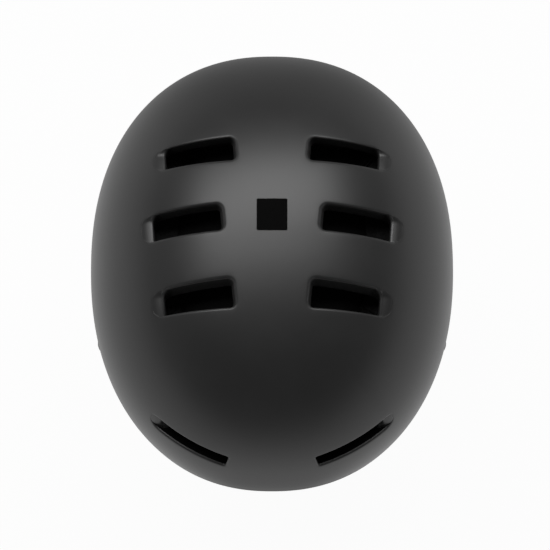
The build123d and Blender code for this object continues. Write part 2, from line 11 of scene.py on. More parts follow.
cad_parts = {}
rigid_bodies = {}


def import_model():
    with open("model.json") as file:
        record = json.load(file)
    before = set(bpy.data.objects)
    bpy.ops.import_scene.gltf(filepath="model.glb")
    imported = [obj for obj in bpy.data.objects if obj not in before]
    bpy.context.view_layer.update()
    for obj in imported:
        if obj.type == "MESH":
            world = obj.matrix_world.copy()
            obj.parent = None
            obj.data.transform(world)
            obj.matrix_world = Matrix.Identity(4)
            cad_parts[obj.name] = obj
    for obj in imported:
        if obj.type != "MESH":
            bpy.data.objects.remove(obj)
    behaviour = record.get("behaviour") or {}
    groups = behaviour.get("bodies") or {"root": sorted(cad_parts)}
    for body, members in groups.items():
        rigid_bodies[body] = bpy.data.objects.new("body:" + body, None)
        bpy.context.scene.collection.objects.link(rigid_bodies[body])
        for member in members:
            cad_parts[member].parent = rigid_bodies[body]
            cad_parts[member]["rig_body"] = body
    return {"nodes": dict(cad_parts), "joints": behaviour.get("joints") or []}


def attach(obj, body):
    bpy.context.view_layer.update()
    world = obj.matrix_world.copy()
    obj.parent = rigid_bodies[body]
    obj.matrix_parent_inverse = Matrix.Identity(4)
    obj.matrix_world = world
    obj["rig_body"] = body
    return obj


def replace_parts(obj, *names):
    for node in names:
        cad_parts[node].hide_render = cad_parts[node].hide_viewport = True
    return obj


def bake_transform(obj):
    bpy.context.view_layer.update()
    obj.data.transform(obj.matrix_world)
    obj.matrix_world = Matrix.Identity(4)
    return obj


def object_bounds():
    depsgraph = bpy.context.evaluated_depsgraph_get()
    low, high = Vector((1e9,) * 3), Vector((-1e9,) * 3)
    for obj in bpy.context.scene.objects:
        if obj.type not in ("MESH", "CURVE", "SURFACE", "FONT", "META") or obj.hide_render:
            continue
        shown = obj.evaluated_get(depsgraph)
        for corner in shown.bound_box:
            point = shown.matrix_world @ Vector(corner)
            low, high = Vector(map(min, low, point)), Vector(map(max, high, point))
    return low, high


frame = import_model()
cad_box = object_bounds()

bl_info = {
    "name": "Skate Helmet",
    "version": (1, 0, 0),
    "blender": (4, 5, 0),
    "location": "3D View > Sidebar > Helmet",
    "description": "Builds the visible surfaces of a hard-shell skate helmet round its frame",
    "category": "Object",
}

# The helmet's form, in metres: the wearer faces -Y, +X is the wearer's left, +Z is up
MM = 0.001
HALF_WIDTH = 115.5 * MM
FRONT_LENGTH = 140.5 * MM
REAR_LENGTH = 136.3 * MM
CENTRE_Y = 3.0 * MM
CROWN_HEIGHT = 165.0 * MM
BULGE_HEIGHT = 55.0 * MM
SIDE_TUCK = 6.0 * MM
FRONT_TUCK = 2.0 * MM
REAR_TUCK = 16.0 * MM
PLAN_POWER = 2.22
CROWN_POWER = 2.25
CROWN_REACH = 190.0 * MM

# Rim: heights, and the stretches of Y over which it rises to the brow and drops to the nape
FRONT_RIM_HEIGHT = 34.0 * MM
SIDE_RIM_HEIGHT = 22.0 * MM
FRONT_RIM = (-105.0 * MM, -62.0 * MM)
REAR_RIM = (30.0 * MM, 118.0 * MM)
LINER_RECESS = 2.0 * MM
SHELL_RIM_POINTS = 480
LINER_RIM_POINTS = 640

# Walls
SHELL_WALL = 2.8 * MM
LINER_GAP = 0.3 * MM
LINER_THICKNESS = 24.0 * MM
LINER_BACK = SHELL_WALL + LINER_GAP
CAVITY = LINER_BACK + LINER_THICKNESS

# Vents: wells in the shell, each with a landing at its outer end
VENT_DEPTH = 8.0 * MM
VENT_FLANGE = 2.2 * MM
VENT_INSET = 0.7 * MM
VENT_CORNER = 4.0 * MM
VENT_BOW = 0.7 * MM
END_LEAN = 1.8 * MM
TIP_CORNER = 6.0 * MM
SLOT_CORNER = 1.5 * MM
SLOT_SWEEP = (8.0 * MM, 5.4 * MM)
SLOT_HEIGHT = 12.0 * MM
LANDING = 8.5 * MM
LANDING_CORNER = 4.6 * MM
LANDING_CORNER_SHARE = 0.35
LANDING_DEPTH = 6.2 * MM
LANDING_POWER = 1.6
LANDING_EDGE = 1.9 * MM
LANDING_FILLET = 4.2 * MM
LANDING_FILLET_SHARE = 0.97
LANDING_EASE = 0.2 * MM
LIP_DROP = 0.7

# A vent's outline is cast on the dome from this far inside
VENT_START = 40.0 * MM

# Rows down a vent's walls, as shares; the first row is close to the lip, so that the lip keeps the plain
# colour and the walls' painted colour, light in the top vents and shade in the side slots, starts just under
# it
WALL_ROWS = (0.04, 0.35, 0.7, 1.0)
LOWER_ROWS = (0.0, 0.33, 0.66, 1.0)

# Top vents of one side in millimetres: inner end, outer end, the widths there and the rear wall's lean
TOP_VENTS = (
    ((21.0, 59.5), (73.0, 54.5), 16.7, 14.5, 0.8),
    ((28.3, 16.5), (79.8, 11.0), 17.7, 17.6, 1.8),
    ((21.2, -29.3), (72.8, -34.6), 19.3, 16.4, 3.2),
)

# Side slots of one side in millimetres: inner end, outer end and the rise in degrees of their direction
SIDE_SLOTS = (
    ((27.0, -124.5, 101.5), (75.0, -97.0, 101.5), 20.0),
    ((26.0, 134.0, 60.0), (76.0, 108.0, 60.0), 4.0),
)

# Rivets and webbing; an anchor is its rivet's Y and Z, and how far forward its strap leaves the rim
WEB_WIDTH = 19.0 * MM
WEB_THICKNESS = 1.5 * MM
WEB_SIDES = 36
WEB_STEP = 1.5 * MM
RIVET_RADIUS = 4.0 * MM
RIVET_HEIGHT = 1.7 * MM
TAB_OVER_RIVET = 11.0 * MM
TAB_INSET = SHELL_WALL + LINER_GAP / 2 + WEB_THICKNESS / 2
ANCHORS = {
    "front": (-44.0 * MM, 40.0 * MM, -12.0 * MM),
    "rear": (90.0 * MM, 27.0 * MM, 12.0 * MM),
}
ANCHOR_START = 30.0 * MM
EXIT_CLEARANCE = 2.6 * MM
LAYER = 0.9 * MM

# Slots of the liner's back for the webbing
SLOT_DEPTH = 4.3 * MM
SLOT_HALF = 10.1 * MM
SLOT_EASE = 0.6 * MM
SLOT_OVER_TAB = 2.0 * MM

# Harness, measured down from the hinge line of the straps
DIVIDER_TOP = 76.0 * MM
DIVIDER_HEIGHT = 34.0 * MM
DIVIDER_BACK = 46.0 * MM
FOLD_SHIFT = 2.0 * MM
FOLD_RADIUS = 14.0 * MM
STRAP_END = 0.7 * MM
STRAP_EASING = 10
CHIN_TOP = -110.35 * MM
CHIN_HIDDEN = 2.5 * MM
CHIN_START = -110.7 * MM
CHIN_LENGTH = 84.0 * MM
LOOP_SPREAD = 2.75 * MM
BAR_DROP = 5.3 * MM
LOOP_RADIUS = 2.2 * MM
DOUBLE_LENGTH = 20.0 * MM
DOUBLE_LOW = CHIN_START - CHIN_LENGTH + 4 * LOOP_SPREAD
SEWN_SHARE = 0.96
CHIN_STEP = 0.9 * MM
CHIN_BEND = 3.0 * MM
CHIN_STITCH_PITCH = 2.0 * MM
CHIN_PAD_DROP = 8.0 * MM
CHIN_PAD_SIZE = (27.0 * MM, 34.0 * MM)
CHIN_PAD_THICKNESS = 7.0 * MM

# Pads: sewn cushions whose welded border and seams stay thin
PAD_BACK = CAVITY + 0.3 * MM
PAD_THICKNESS = 7.2 * MM
PAD_SHARE_BEFORE_AIR = 0.9
PAD_WELD = 1.4 * MM
PAD_RAMP = 9.0 * MM
PAD_PRESSED = 3.2 * MM
PAD_SEAM_REACH = 1.8 * MM
PAD_SEAM_HELD = 0.9 * MM
PAD_EDGE = 1.5 * MM
PAD_SEAM = 3.3 * MM
PAD_CORNER = 9.0 * MM
CROWN_PAD_CORNER = 36.0 * MM
STITCH_INWARD = 0.6
STITCH_SHARE = 0.78
INFLATION_STEPS = 20

# In spacings: from row to row of an even grid, and the least from a loose point to a fixed one
GRID_ROWS = 0.866
GRID_CLOSEST = 0.55

# Air grooves in the liner, and its rim's edge at the back
GROOVE_X = 47.0 * MM
GROOVE_HALF = 6.5 * MM
GROOVE_DEPTH = 7.0 * MM
GROOVE_FLOOR = 62.0 * MM
GROOVE_EASE = 1.2 * MM
BACK_ROUND = 1.2 * MM
BACK_SPACING = 5.0 * MM
FINE_SPACING = 2.0 * MM

# Stage: the floor's half side, the lamp's aim, the picture's side and its shift in pixels
FLOOR_HALF = 6.0
FLOOR_DROP = 2.0 * MM
LAMP_AIM = (0, 0.03, 0.12)
PICTURE_SIDE = 550
PICTURE_SHIFT = (3.0, -0.5)

JOINTS = {joint["name"]: joint for joint in frame["joints"]}


def unit(vector):
    """The vector at a length of one."""
    return vector / np.linalg.norm(vector)


def units(vectors):
    """Rows of vectors, each at a length of one."""
    return vectors / np.linalg.norm(vectors, axis=1)[:, None]


def eased(share):
    """A share kept from 0 to 1, with a smooth start and end."""
    share = np.clip(share, 0, 1)
    return share**2 * (3 - 2 * share)


def squared(wave, power):
    """A cosine or sine pushed towards a square wave, for a section with full corners."""
    return np.sign(wave) * np.abs(wave) ** power


class Dome:
    """The helmet's form at a distance inside its outer surface."""

    halvings = 48

    def __init__(self, inset=0.0, tucked=True):
        self.inset = inset
        self.tucked = tucked

    def level(self, z, inset):
        """Half width, front length and rear length at each height."""
        rise = np.clip((z - BULGE_HEIGHT) / (CROWN_HEIGHT - inset - BULGE_HEIGHT), 0, 1)
        shrink = np.maximum(0, 1 - rise**CROWN_POWER) ** (1 / CROWN_POWER)
        fall = (np.minimum(0, z - BULGE_HEIGHT) / BULGE_HEIGHT) ** 2 * self.tucked
        side = (HALF_WIDTH - inset) * shrink - SIDE_TUCK * fall
        front = (FRONT_LENGTH - inset) * shrink - FRONT_TUCK * fall
        rear = (REAR_LENGTH - inset) * shrink - REAR_TUCK * fall
        return side, front, rear

    def at(self, z, turn, inset=None):
        """Points at a height and a turn about the upright axis."""
        inset = self.inset if inset is None else inset
        side, front, rear = self.level(z, inset)
        cosine, sine = np.cos(turn), np.sin(turn)
        radius = (np.abs(cosine) ** PLAN_POWER + np.abs(sine) ** PLAN_POWER) ** (-1 / PLAN_POWER)
        along = sine * radius
        y = CENTRE_Y + (front + rear) / 2 * along + (rear - front) / 2 * along**2
        return np.stack(np.broadcast_arrays(side * cosine * radius, y, z), axis=-1)

    def height(self, reach, inset=None):
        """Height at a distance from the crown along the surface."""
        inset = self.inset if inset is None else inset
        lift = np.clip(1 - reach / CROWN_REACH, 0, 1) * math.pi / 2
        cosine, sine = np.cos(lift), np.sin(lift)
        radius = (sine**CROWN_POWER + cosine**CROWN_POWER) ** (-1 / CROWN_POWER)
        upper = BULGE_HEIGHT + (CROWN_HEIGHT - inset - BULGE_HEIGHT) * sine * radius
        return np.where(reach > CROWN_REACH, BULGE_HEIGHT + CROWN_REACH - reach, upper)

    def spread(self, flat, inset=None):
        """Points of the surface for places on its flat map."""
        reach, turn = np.hypot(flat[:, 0], flat[:, 1]), np.arctan2(flat[:, 1], flat[:, 0])
        return self.at(self.height(reach, inset), turn, inset)

    def shares(self, points):
        """Places across and along as shares of the plan at each height, and whether Y is in its reach."""
        side, front, rear = self.level(points[:, 2], self.inset)
        mean, skew = (front + rear) / 2, (rear - front) / 2

        # Both lengths are zero at the crown, where any other skew keeps the division finite
        skew = np.where(skew == 0, MM, skew)
        root = mean**2 + 4 * skew * (points[:, 1] - CENTRE_Y)
        along = (np.sqrt(np.maximum(root, 0)) - mean) / (2 * skew)
        return points[:, 0] / np.maximum(side, MM / 1000), along, root > 0

    def flatten(self, points):
        """Places on the flat map for points of the surface."""
        z = points[:, 2]
        across, along, _ = self.shares(points)
        turn = np.arctan2(along, across)
        rise = np.clip((z - BULGE_HEIGHT) / (CROWN_HEIGHT - self.inset - BULGE_HEIGHT), 0, 1)
        shrink = (1 - rise**CROWN_POWER) ** (1 / CROWN_POWER)
        upper = CROWN_REACH * (1 - np.arctan2(rise, shrink) / (math.pi / 2))
        reach = np.where(z < BULGE_HEIGHT, CROWN_REACH + BULGE_HEIGHT - z, upper)
        return np.stack((reach * np.cos(turn), reach * np.sin(turn)), axis=-1)

    def holds(self, points):
        """Whether points lie inside."""
        across, along, reached = self.shares(points)
        inside = np.abs(across) ** PLAN_POWER + np.abs(along) ** PLAN_POWER < 1
        return inside & (points[:, 2] < CROWN_HEIGHT - self.inset) & reached

    def strike(self, starts, direction):
        """Distances along a direction from points inside to the surface."""
        near, far = np.zeros(len(starts)), np.full(len(starts), 2 * (FRONT_LENGTH + REAR_LENGTH))
        for _ in range(self.halvings):
            middle = (near + far) / 2
            inside = self.holds(starts + middle[:, None] * direction)
            near, far = np.where(inside, middle, near), np.where(inside, far, middle)
        return near


def rim_height(y):
    """Height of the shell's lower edge."""
    front = eased((FRONT_RIM[1] - y) / (FRONT_RIM[1] - FRONT_RIM[0]))
    rear = eased((y - REAR_RIM[0]) / (REAR_RIM[1] - REAR_RIM[0]))
    return SIDE_RIM_HEIGHT + (FRONT_RIM_HEIGHT - SIDE_RIM_HEIGHT) * front - SIDE_RIM_HEIGHT * rear


class Vent:
    """One vent on the left or right: its outline, its well and the landing at its tip."""

    corner_steps = 8
    end_steps = 8
    side_steps = 22
    edge_steps = 5
    tip_steps = 7
    upright = 0.9

    def __init__(self, inner, tip, pull, width_inner, width_tip, lean, side):
        self.side = side
        self.lean = lean
        self.pull = unit(np.array(pull, float))
        outer = Dome()
        ends = np.array([inner, tip], float) - self.pull * VENT_START
        ends = ends + outer.strike(ends, self.pull)[:, None] * self.pull
        run = ends[1] - ends[0]
        self.along = unit(run - self.pull * run.dot(self.pull))
        self.across = np.cross(self.pull, self.along)
        self.origin = ends[0]
        self.length = run.dot(self.along)
        self.widths = (width_inner, width_tip)
        self.edge = self.length - LANDING
        self.slot = self.pull[2] < self.upright
        self.swept = -math.copysign(1, self.across[2]) if self.slot else 1
        self.corner = SLOT_CORNER if self.slot else VENT_CORNER
        self.round = min(LANDING_CORNER, LANDING_CORNER_SHARE * width_tip)
        self.edge_index = self.end_steps + self.corner_steps + self.side_steps - 1

    def half_width(self, x):
        """Half of the opening's width at a place along it."""
        return (self.widths[0] + (self.widths[1] - self.widths[0]) * x / self.length) / 2 - VENT_INSET

    def half(self, offset, swept):
        """Half of the outline, from the middle of the inner end to the middle of the tip."""
        start, end = VENT_INSET, self.length - VENT_INSET
        tip_round = (TIP_CORNER, TIP_CORNER)
        if self.slot:
            tip_round = SLOT_SWEEP if swept else (SLOT_CORNER, SLOT_CORNER)
        edge = self.edge - self.round * swept
        fine = edge + LANDING_EDGE * (1 - np.sin(np.linspace(math.pi / 2, 0, self.edge_steps)))
        near = (start + self.corner, self.half_width(start + self.corner) - self.corner)
        far = (end - tip_round[0], self.half_width(end - tip_round[0]) - tip_round[1])
        x = np.concatenate([
            np.linspace(near[0], edge, self.side_steps)[1:-1], fine,
            np.linspace(fine[-1], far[0], self.tip_steps)[1:-1]])
        opening = np.linspace(math.pi, math.pi / 2, self.corner_steps + 1)
        closing = opening - math.pi / 2
        even = np.linspace(0, 1, self.end_steps + 1)[:-1]
        corner = self.corner + offset
        stretches = (
            (start - offset, even * near[1]),
            (near[0] + corner * np.cos(opening), near[1] + corner * np.sin(opening)),
            (x, self.half_width(x) + offset),
            (far[0] + (tip_round[0] + offset) * np.cos(closing),
             far[1] + (tip_round[1] + offset) * np.sin(closing)),
            (end + offset, (1 - even[1:]) * far[1]),
            (end + offset, [0.0]),
        )
        return np.concatenate([np.stack(np.broadcast_arrays(*pair), axis=-1) for pair in stretches])

    def outline(self, offset=0.0):
        """The whole outline, once round, as places along and across the vent."""
        half = self.half(offset, self.swept > 0)
        other = self.half(offset, self.swept < 0)[-2:0:-1] * (1, -1)
        places = np.concatenate([half, other])
        return places + np.stack([0 * places[:, 0], self.bow(places[:, 0])], axis=-1)

    def bow(self, x):
        """The vent's slight bend to the rear."""
        return 4 * VENT_BOW * x / self.length * (1 - x / self.length)

    def base(self, places):
        """Points in the vent's own plane."""
        return self.origin + places[:, :1] * self.along + places[:, 1:] * self.across

    def on(self, dome, places):
        """Heights over the vent's plane at which a dome's surface lies."""
        starts = self.base(places) - self.pull * VENT_START
        return dome.strike(starts, self.pull) - VENT_START

    def depth(self, places):
        """Depth of the landing: up to flush at the tip, with a wide fillet to the rear wall."""
        x, y = places.T
        share = np.clip((x - self.edge + self.round) / (LANDING + self.round), 0, 1)
        deep = LANDING_DEPTH * (1 - share) ** LANDING_POWER
        if not self.slot:
            near = (y - self.bow(x) - self.half_width(x) + LANDING_FILLET) / LANDING_FILLET
            deep -= LANDING_FILLET * (1 - np.sqrt(1 - LANDING_FILLET_SHARE * np.clip(near, 0, 1) ** 2))
        return LANDING_EASE * np.logaddexp(0, deep / LANDING_EASE)

    def place(self, places, heights):
        """Points of the mesh, mirrored for the right side."""
        points = self.base(places) + heights[:, None] * self.pull
        return points * (self.side, 1, 1)


def all_vents():
    """The ten vents: six on top, two on the forehead and two at the back."""
    vents = []
    for side in (1, -1):
        for inner, tip, width_inner, width_tip, lean in TOP_VENTS:
            height = BULGE_HEIGHT + VENT_START
            start = (inner[0] * MM, inner[1] * MM, height)
            end = (tip[0] * MM, tip[1] * MM, height)
            vents.append(Vent(start, end, (0, 0, 1), width_inner * MM, width_tip * MM, lean * MM, side))
        for inner, tip, rise in SIDE_SLOTS:
            inner, tip = np.array(inner) * MM, np.array(tip) * MM
            run = tip - inner
            outward = unit(np.array([run[1], -run[0], 0]))
            outward = outward * math.copysign(1, outward.dot(inner))
            lift = math.radians(rise)
            pull = outward * math.cos(lift) + np.array([0, 0, math.sin(lift)])
            vents.append(Vent(inner, tip, pull, SLOT_HEIGHT, SLOT_HEIGHT, 0.0, side))
    return vents


def bands(rows, closed=True):
    """Faces between rows of points that have the same number each."""
    faces = []
    for a, b in zip(rows[:-1], rows[1:]):
        for i in range(len(a) if closed else len(a) - 1):
            k = (i + 1) % len(a)
            faces.append((a[i], a[k], b[k], b[i]))
    return faces


def plain_mesh(name, points, faces):
    """A mesh of points and faces, as they are."""
    mesh = bpy.data.meshes.new(name)
    mesh.from_pydata(np.asarray(points).tolist(), [], [tuple(int(i) for i in face) for face in faces])
    return mesh


def turned_out(mesh, merge=0.0):
    """Merges a mesh's doubles, if asked, and turns its faces outwards."""
    form = bmesh.new()
    form.from_mesh(mesh)
    if merge:
        bmesh.ops.remove_doubles(form, verts=form.verts, dist=merge)
        loose = [v for v in form.verts if not v.link_faces]
        bmesh.ops.delete(form, geom=loose, context="VERTS")
    bmesh.ops.recalc_face_normals(form, faces=form.faces)
    form.to_mesh(mesh)
    form.free()


class Skin:
    """A mesh put together from rows, grids and filled stretches of the dome."""

    def __init__(self):
        self.points = []
        self.marks = []
        self.faces = []
        self.count = 0
        # Mark for the points added next, kept as the attribute shade: 1 where walls get painted shade, -1
        # where they get painted light, 0 elsewhere
        self.mark = 0.0

    def add(self, points):
        """Adds points and returns their indices."""
        start = self.count
        self.points.append(np.asarray(points, float).reshape(-1, 3))
        self.count += len(self.points[-1])
        self.marks += [self.mark] * (self.count - start)
        return np.arange(start, self.count)

    def join(self, rows, closed=True):
        """Joins rows of points that have the same number each."""
        self.faces += bands(rows, closed)

    def patch(self, dome, rings, spacing, inset_at=None, extra=None):
        """Fills the dome's surface between its outer ring and holes, all given as points."""
        flats = [
            (Dome(inset_at(ring), dome.tucked) if inset_at else dome).flatten(ring) for ring in rings]
        reach = np.hypot(*flats[0].T).max()
        loose = [np.zeros((1, 2))]
        for distance in np.arange(spacing, reach, spacing):
            z = dome.height(np.array([distance]))
            side, front, rear = dome.level(z, dome.inset)
            girth = math.pi * (side[0] + (front[0] + rear[0]) / 2)
            number = max(6, round(girth / spacing))
            turn = (np.arange(number) + 0.5 * (round(distance / spacing) % 2)) * 2 * math.pi / number
            loose.append(np.stack([distance * np.cos(turn), distance * np.sin(turn)], axis=-1))
        if extra is not None:
            loose.append(dome.flatten(extra))
        coords, triangles, sources = fill(flats, np.concatenate(loose), spacing)
        placed = dome.spread(coords)
        if inset_at is not None:
            placed = dome.spread(coords, inset_at(placed))
        known = np.concatenate(rings)
        for new, old in sources.items():
            placed[new] = known[old]
        indices = self.add(placed)
        self.faces += [tuple(indices[t]) for t in triangles]

    def mesh(self, name, merge=0.01 * MM):
        """The finished closed mesh, with its faces outwards."""
        mesh = plain_mesh(name, np.concatenate(self.points), self.faces)
        # The marks go with the points as the attribute shade, which the shell's finish reads for its painted
        # light and shade
        mesh.attributes.new("shade", "FLOAT", "POINT").data.foreach_set("value", self.marks)
        turned_out(mesh, merge)
        return mesh


def fill(loops, loose, spacing, lines=()):
    """Triangles between a flat outer loop and its holes, through loose points and along lines."""
    edges, count = [], 0
    for loop in loops:
        edges += [(count + i, count + (i + 1) % len(loop)) for i in range(len(loop))]
        count += len(loop)
    known = count
    for line in lines:
        edges += [(count + i, count + i + 1) for i in range(len(line) - 1)]
        count += len(line)
    fixed = np.concatenate([*loops, *lines])
    keep = within(loose, loops[0])
    for loop in loops[1:]:
        keep &= ~within(loose, loop)
    loose = loose[keep]
    loose = loose[far_from(loose, fixed, spacing * GRID_CLOSEST)]
    coords = np.concatenate([fixed, loose])
    result = delaunay_2d_cdt([Vector(c) for c in coords], edges, [], 0, 1e-9)
    coords = np.array([tuple(c) for c in result[0]])
    triangles = np.array(result[2])
    middle = coords[triangles].mean(axis=1)
    keep = within(middle, loops[0])
    for loop in loops[1:]:
        keep &= ~within(middle, loop)
    sources = {new: old[0] for new, old in enumerate(result[3]) if len(old) and old[0] < known}
    return coords, triangles[keep], sources


def within(points, loop):
    """Which flat points lie inside a closed flat loop."""
    inside = np.zeros(len(points), bool)
    low, high = loop.min(axis=0), loop.max(axis=0)
    near = np.where(((points >= low) & (points <= high)).all(axis=1))[0]
    x, y = points[near, 0], points[near, 1]
    result = np.zeros(len(near), bool)
    for a, b in zip(loop, np.roll(loop, -1, axis=0)):
        if a[1] == b[1]:
            continue
        crosses = (a[1] > y) != (b[1] > y)
        result ^= crosses & (x < (b[0] - a[0]) * (y - a[1]) / (b[1] - a[1]) + a[0])
    inside[near] = result
    return inside


def far_from(points, others, distance):
    """Which flat points keep a distance from all the others."""
    cells = {}
    for other in others:
        cells.setdefault((int(other[0] // distance), int(other[1] // distance)), []).append(other)
    keep = np.ones(len(points), bool)
    for index, point in enumerate(points):
        column, row = int(point[0] // distance), int(point[1] // distance)
        for i in (column - 1, column, column + 1):
            for k in (row - 1, row, row + 1):
                for other in cells.get((i, k), ()):
                    if (other[0] - point[0]) ** 2 + (other[1] - point[1]) ** 2 < distance**2:
                        keep[index] = False
    return keep


def rounded_edge(ring, radius, wall, inside, steps):
    """Rings round the outside or inside edge of a rim; ring makes one from its share and its lift."""
    first, last = (math.pi / 2, 0) if inside else (0, math.pi / 2)
    rings = []
    for turn in np.linspace(first, last, steps):
        away = radius * (1 - math.cos(turn)) / wall
        rings.append(ring(abs(inside - away), radius * (1 - math.sin(turn))))
    return rings


def rim_ring(outer, inner, share, lift):
    """Ring above the shell's rim, part of the way from its outer to its inner surface."""
    turns = np.linspace(0, 2 * math.pi, SHELL_RIM_POINTS, endpoint=False)
    y = outer.at(np.full(len(turns), SIDE_RIM_HEIGHT), turns)[:, 1]
    for _ in range(12):
        z = rim_height(y) + lift
        points = outer.at(z, turns) * (1 - share) + inner.at(z, turns) * share
        y = points[:, 1]
    return points


def linked(name, data):
    """A new object in the scene."""
    piece = bpy.data.objects.new(name, data)
    bpy.context.scene.collection.objects.link(piece)
    return piece


def coat(mesh, finish):
    """Gives a mesh its one finish."""
    mesh.materials.clear()
    mesh.materials.append(finish)


def finished(name, mesh, body, finish):
    """A piece made from a mesh, riding on a body if one is given."""
    piece = linked(name, mesh)
    coat(mesh, finish)
    if body:
        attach(piece, body)
    return piece


def smooth(mesh, degrees):
    """Smooth shading with sharp edges past an angle."""
    mesh.shade_smooth()
    mesh.set_sharp_from_angle(angle=math.radians(degrees))


class Well:
    """One vent in the shell: its lip, walls, landing and inner flange, added to a skin in this order."""

    lip_steps = 7

    def __init__(self, skin, vent, lip):
        self.skin = skin
        self.vent = vent
        self.lip = lip
        self.outer, self.inner, self.base = Dome(), Dome(SHELL_WALL), Dome(VENT_DEPTH + SHELL_WALL)
        self.outline = vent.outline()
        self.around = np.arange(len(self.outline))
        self.front, self.back = vent.edge_index, len(self.outline) - vent.edge_index
        inward = (vent.outline(-MM) - self.outline) / MM
        lean = np.where(inward[:, 1] < 0, vent.lean, 0)
        self.inward = inward * np.stack([np.full(len(inward), END_LEAN), lean], axis=-1)
        self.top, self.bottom = vent.on(self.outer, self.outline), vent.on(self.base, self.outline)
        self.sunk = np.zeros(len(self.outline))
        for step, turn in enumerate(np.linspace(math.pi / 2, 0, vent.edge_steps)):
            self.sunk[[self.front + step, self.back - step]] = LANDING_EDGE * (1 - math.cos(turn))
        foot = self.foot()
        self.floor = self.top - foot
        self.room = LIP_DROP * np.minimum(lip, foot)

    def foot(self):
        """Depth at which the wall meets the landing, rounded over the landing's edge."""
        vent = self.vent
        near, far = (vent.depth(self.outline[[index]]) for index in (self.front, self.back))
        edge = np.where(self.around < len(self.around) // 2, near, far)
        on_landing = (self.around >= self.front) & (self.around <= self.back)
        return np.where(on_landing, vent.depth(self.outline) + self.sunk, edge + LANDING_EDGE)

    def add(self, places, heights):
        """Adds a row of points to the skin."""
        return self.skin.add(self.vent.place(places, heights))

    def leaned(self, index, height):
        """Places on the leaning wall at a height."""
        share = np.clip((self.top[index] - height) / (self.top[index] - self.bottom[index]), 0, 1)
        return self.outline[index] + self.inward[index] * share[:, None]

    def add_lip(self):
        """Quarter round from the outer surface into the well, flatter by the landing, and the upper wall."""
        rows = []
        for turn in np.linspace(0, math.pi / 2, self.lip_steps):
            places = self.vent.outline(self.lip * (1 - math.sin(turn)))
            rows.append(self.add(places, self.vent.on(self.outer, places) - self.room * (1 - math.cos(turn))))
        # Walls from here are marked for painted colour: 1 paints the side slots' walls flat black as painted
        # shade, -1 paints the top vents' walls lighter as painted light
        self.skin.mark = 1.0 if self.vent.slot else -1.0
        for share in WALL_ROWS:
            heights = (self.top - self.room) * (1 - share) + self.floor * share
            rows.append(self.add(self.leaned(self.around, heights), heights))
        self.skin.join(rows)
        hole = self.vent.outline(self.lip)
        return self.vent.place(hole, self.vent.on(self.outer, hole))

    def add_lower_wall(self):
        """Wall that goes on down to the flange's end, all round except under the landing."""
        index = np.concatenate([self.around[self.back:], self.around[:self.front + 1]])
        rows = []
        for share in LOWER_ROWS:
            heights = self.floor[index] * (1 - share) + self.bottom[index] * share
            rows.append(self.add(self.leaned(index, heights), heights))
        self.skin.join(rows, closed=False)
        # The landing and flange added after this carry no painted light or shade
        self.skin.mark = 0.0

    def crossing(self, pair, cross, swing, ends, surface):
        """Places and heights of a row from wall to wall, drawn to the walls' heights at its ends."""
        start, end = self.leaned(pair, ends[pair])
        places = start + (end - start) * np.stack([swing, cross], axis=-1)
        heights = surface(places)
        heights += (ends[pair[0]] - heights[0]) * (1 - cross) + (ends[pair[1]] - heights[-1]) * cross
        return places, heights

    def add_landing(self):
        """Landing, the block under it and the upright face at its edge."""
        vent = self.vent
        tip = len(self.outline) // 2 - vent.end_steps
        even = np.linspace(0, 1, 2 * vent.end_steps + 1)
        bend = vent.round / (self.outline[self.front][1] - self.outline[self.back][1])
        turns = np.linspace(0, math.pi / 2, vent.end_steps)
        close = np.concatenate([bend * (1 - np.cos(turns)), np.linspace(bend, 1, vent.end_steps + 2)[1:]])
        landing, block, edge = [], [], []
        for i in range(self.front, tip + 1):
            ease = (i - self.front) / (tip - self.front)
            cross = close * (1 - ease) + even * ease
            swing = np.sqrt(1 - np.clip(1 - cross / bend, 0, 1) ** 2)
            if vent.swept < 0:
                cross, swing = 1 - cross[::-1], 1 - swing[::-1]
            row = partial(self.crossing, [i, len(self.outline) - i], cross, swing)
            high = row(self.floor, lambda at: vent.on(self.outer, at) - vent.depth(at) - self.sunk[i])
            low = row(self.bottom, lambda at: vent.on(self.base, at))
            landing.append(self.add(*high))
            block.append(self.add(*low))
            if i == self.front:
                edge = [self.add(*(a * (1 - s) + b * s for a, b in zip(high, low))) for s in LOWER_ROWS]
        for rows in (landing, block, edge):
            self.skin.join(rows, closed=False)

    def add_flange(self):
        """Flange round the well, inside the shell."""
        rim = self.vent.outline(VENT_FLANGE)
        low, high = self.vent.on(self.base, rim), self.vent.on(self.inner, rim)
        self.skin.join([self.add(self.leaned(self.around, self.bottom), self.bottom), self.add(rim, low)])
        self.skin.join([self.add(rim, low * (1 - share) + high * share) for share in (0.0, 0.5, 1.0)])
        return self.vent.place(rim, high)


def shell_mesh(settings, vents):
    """The moulded shell: outer skin, wells, inside and rim."""
    skin = Skin()
    outer, inner = Dome(), Dome(SHELL_WALL)
    outer_holes, inner_holes = [], []
    for vent in vents:
        well = Well(skin, vent, settings.lip_radius)
        outer_holes.append(well.add_lip())
        well.add_lower_wall()
        well.add_landing()
        inner_holes.append(well.add_flange())

    # Rim: a rounded edge from the outer to the inner surface
    edge = []
    for inside in (False, True):
        edge += rounded_edge(partial(rim_ring, outer, inner), settings.rim_radius, SHELL_WALL, inside, 6)
    skin.join([skin.add(ring) for ring in edge])
    skin.patch(outer, [edge[0], *outer_holes], settings.skin_spacing)
    skin.patch(inner, [edge[-1], *inner_holes], 3 * settings.skin_spacing)
    mesh = skin.mesh("outer_shell_skin")
    smooth(mesh, 50)
    return mesh


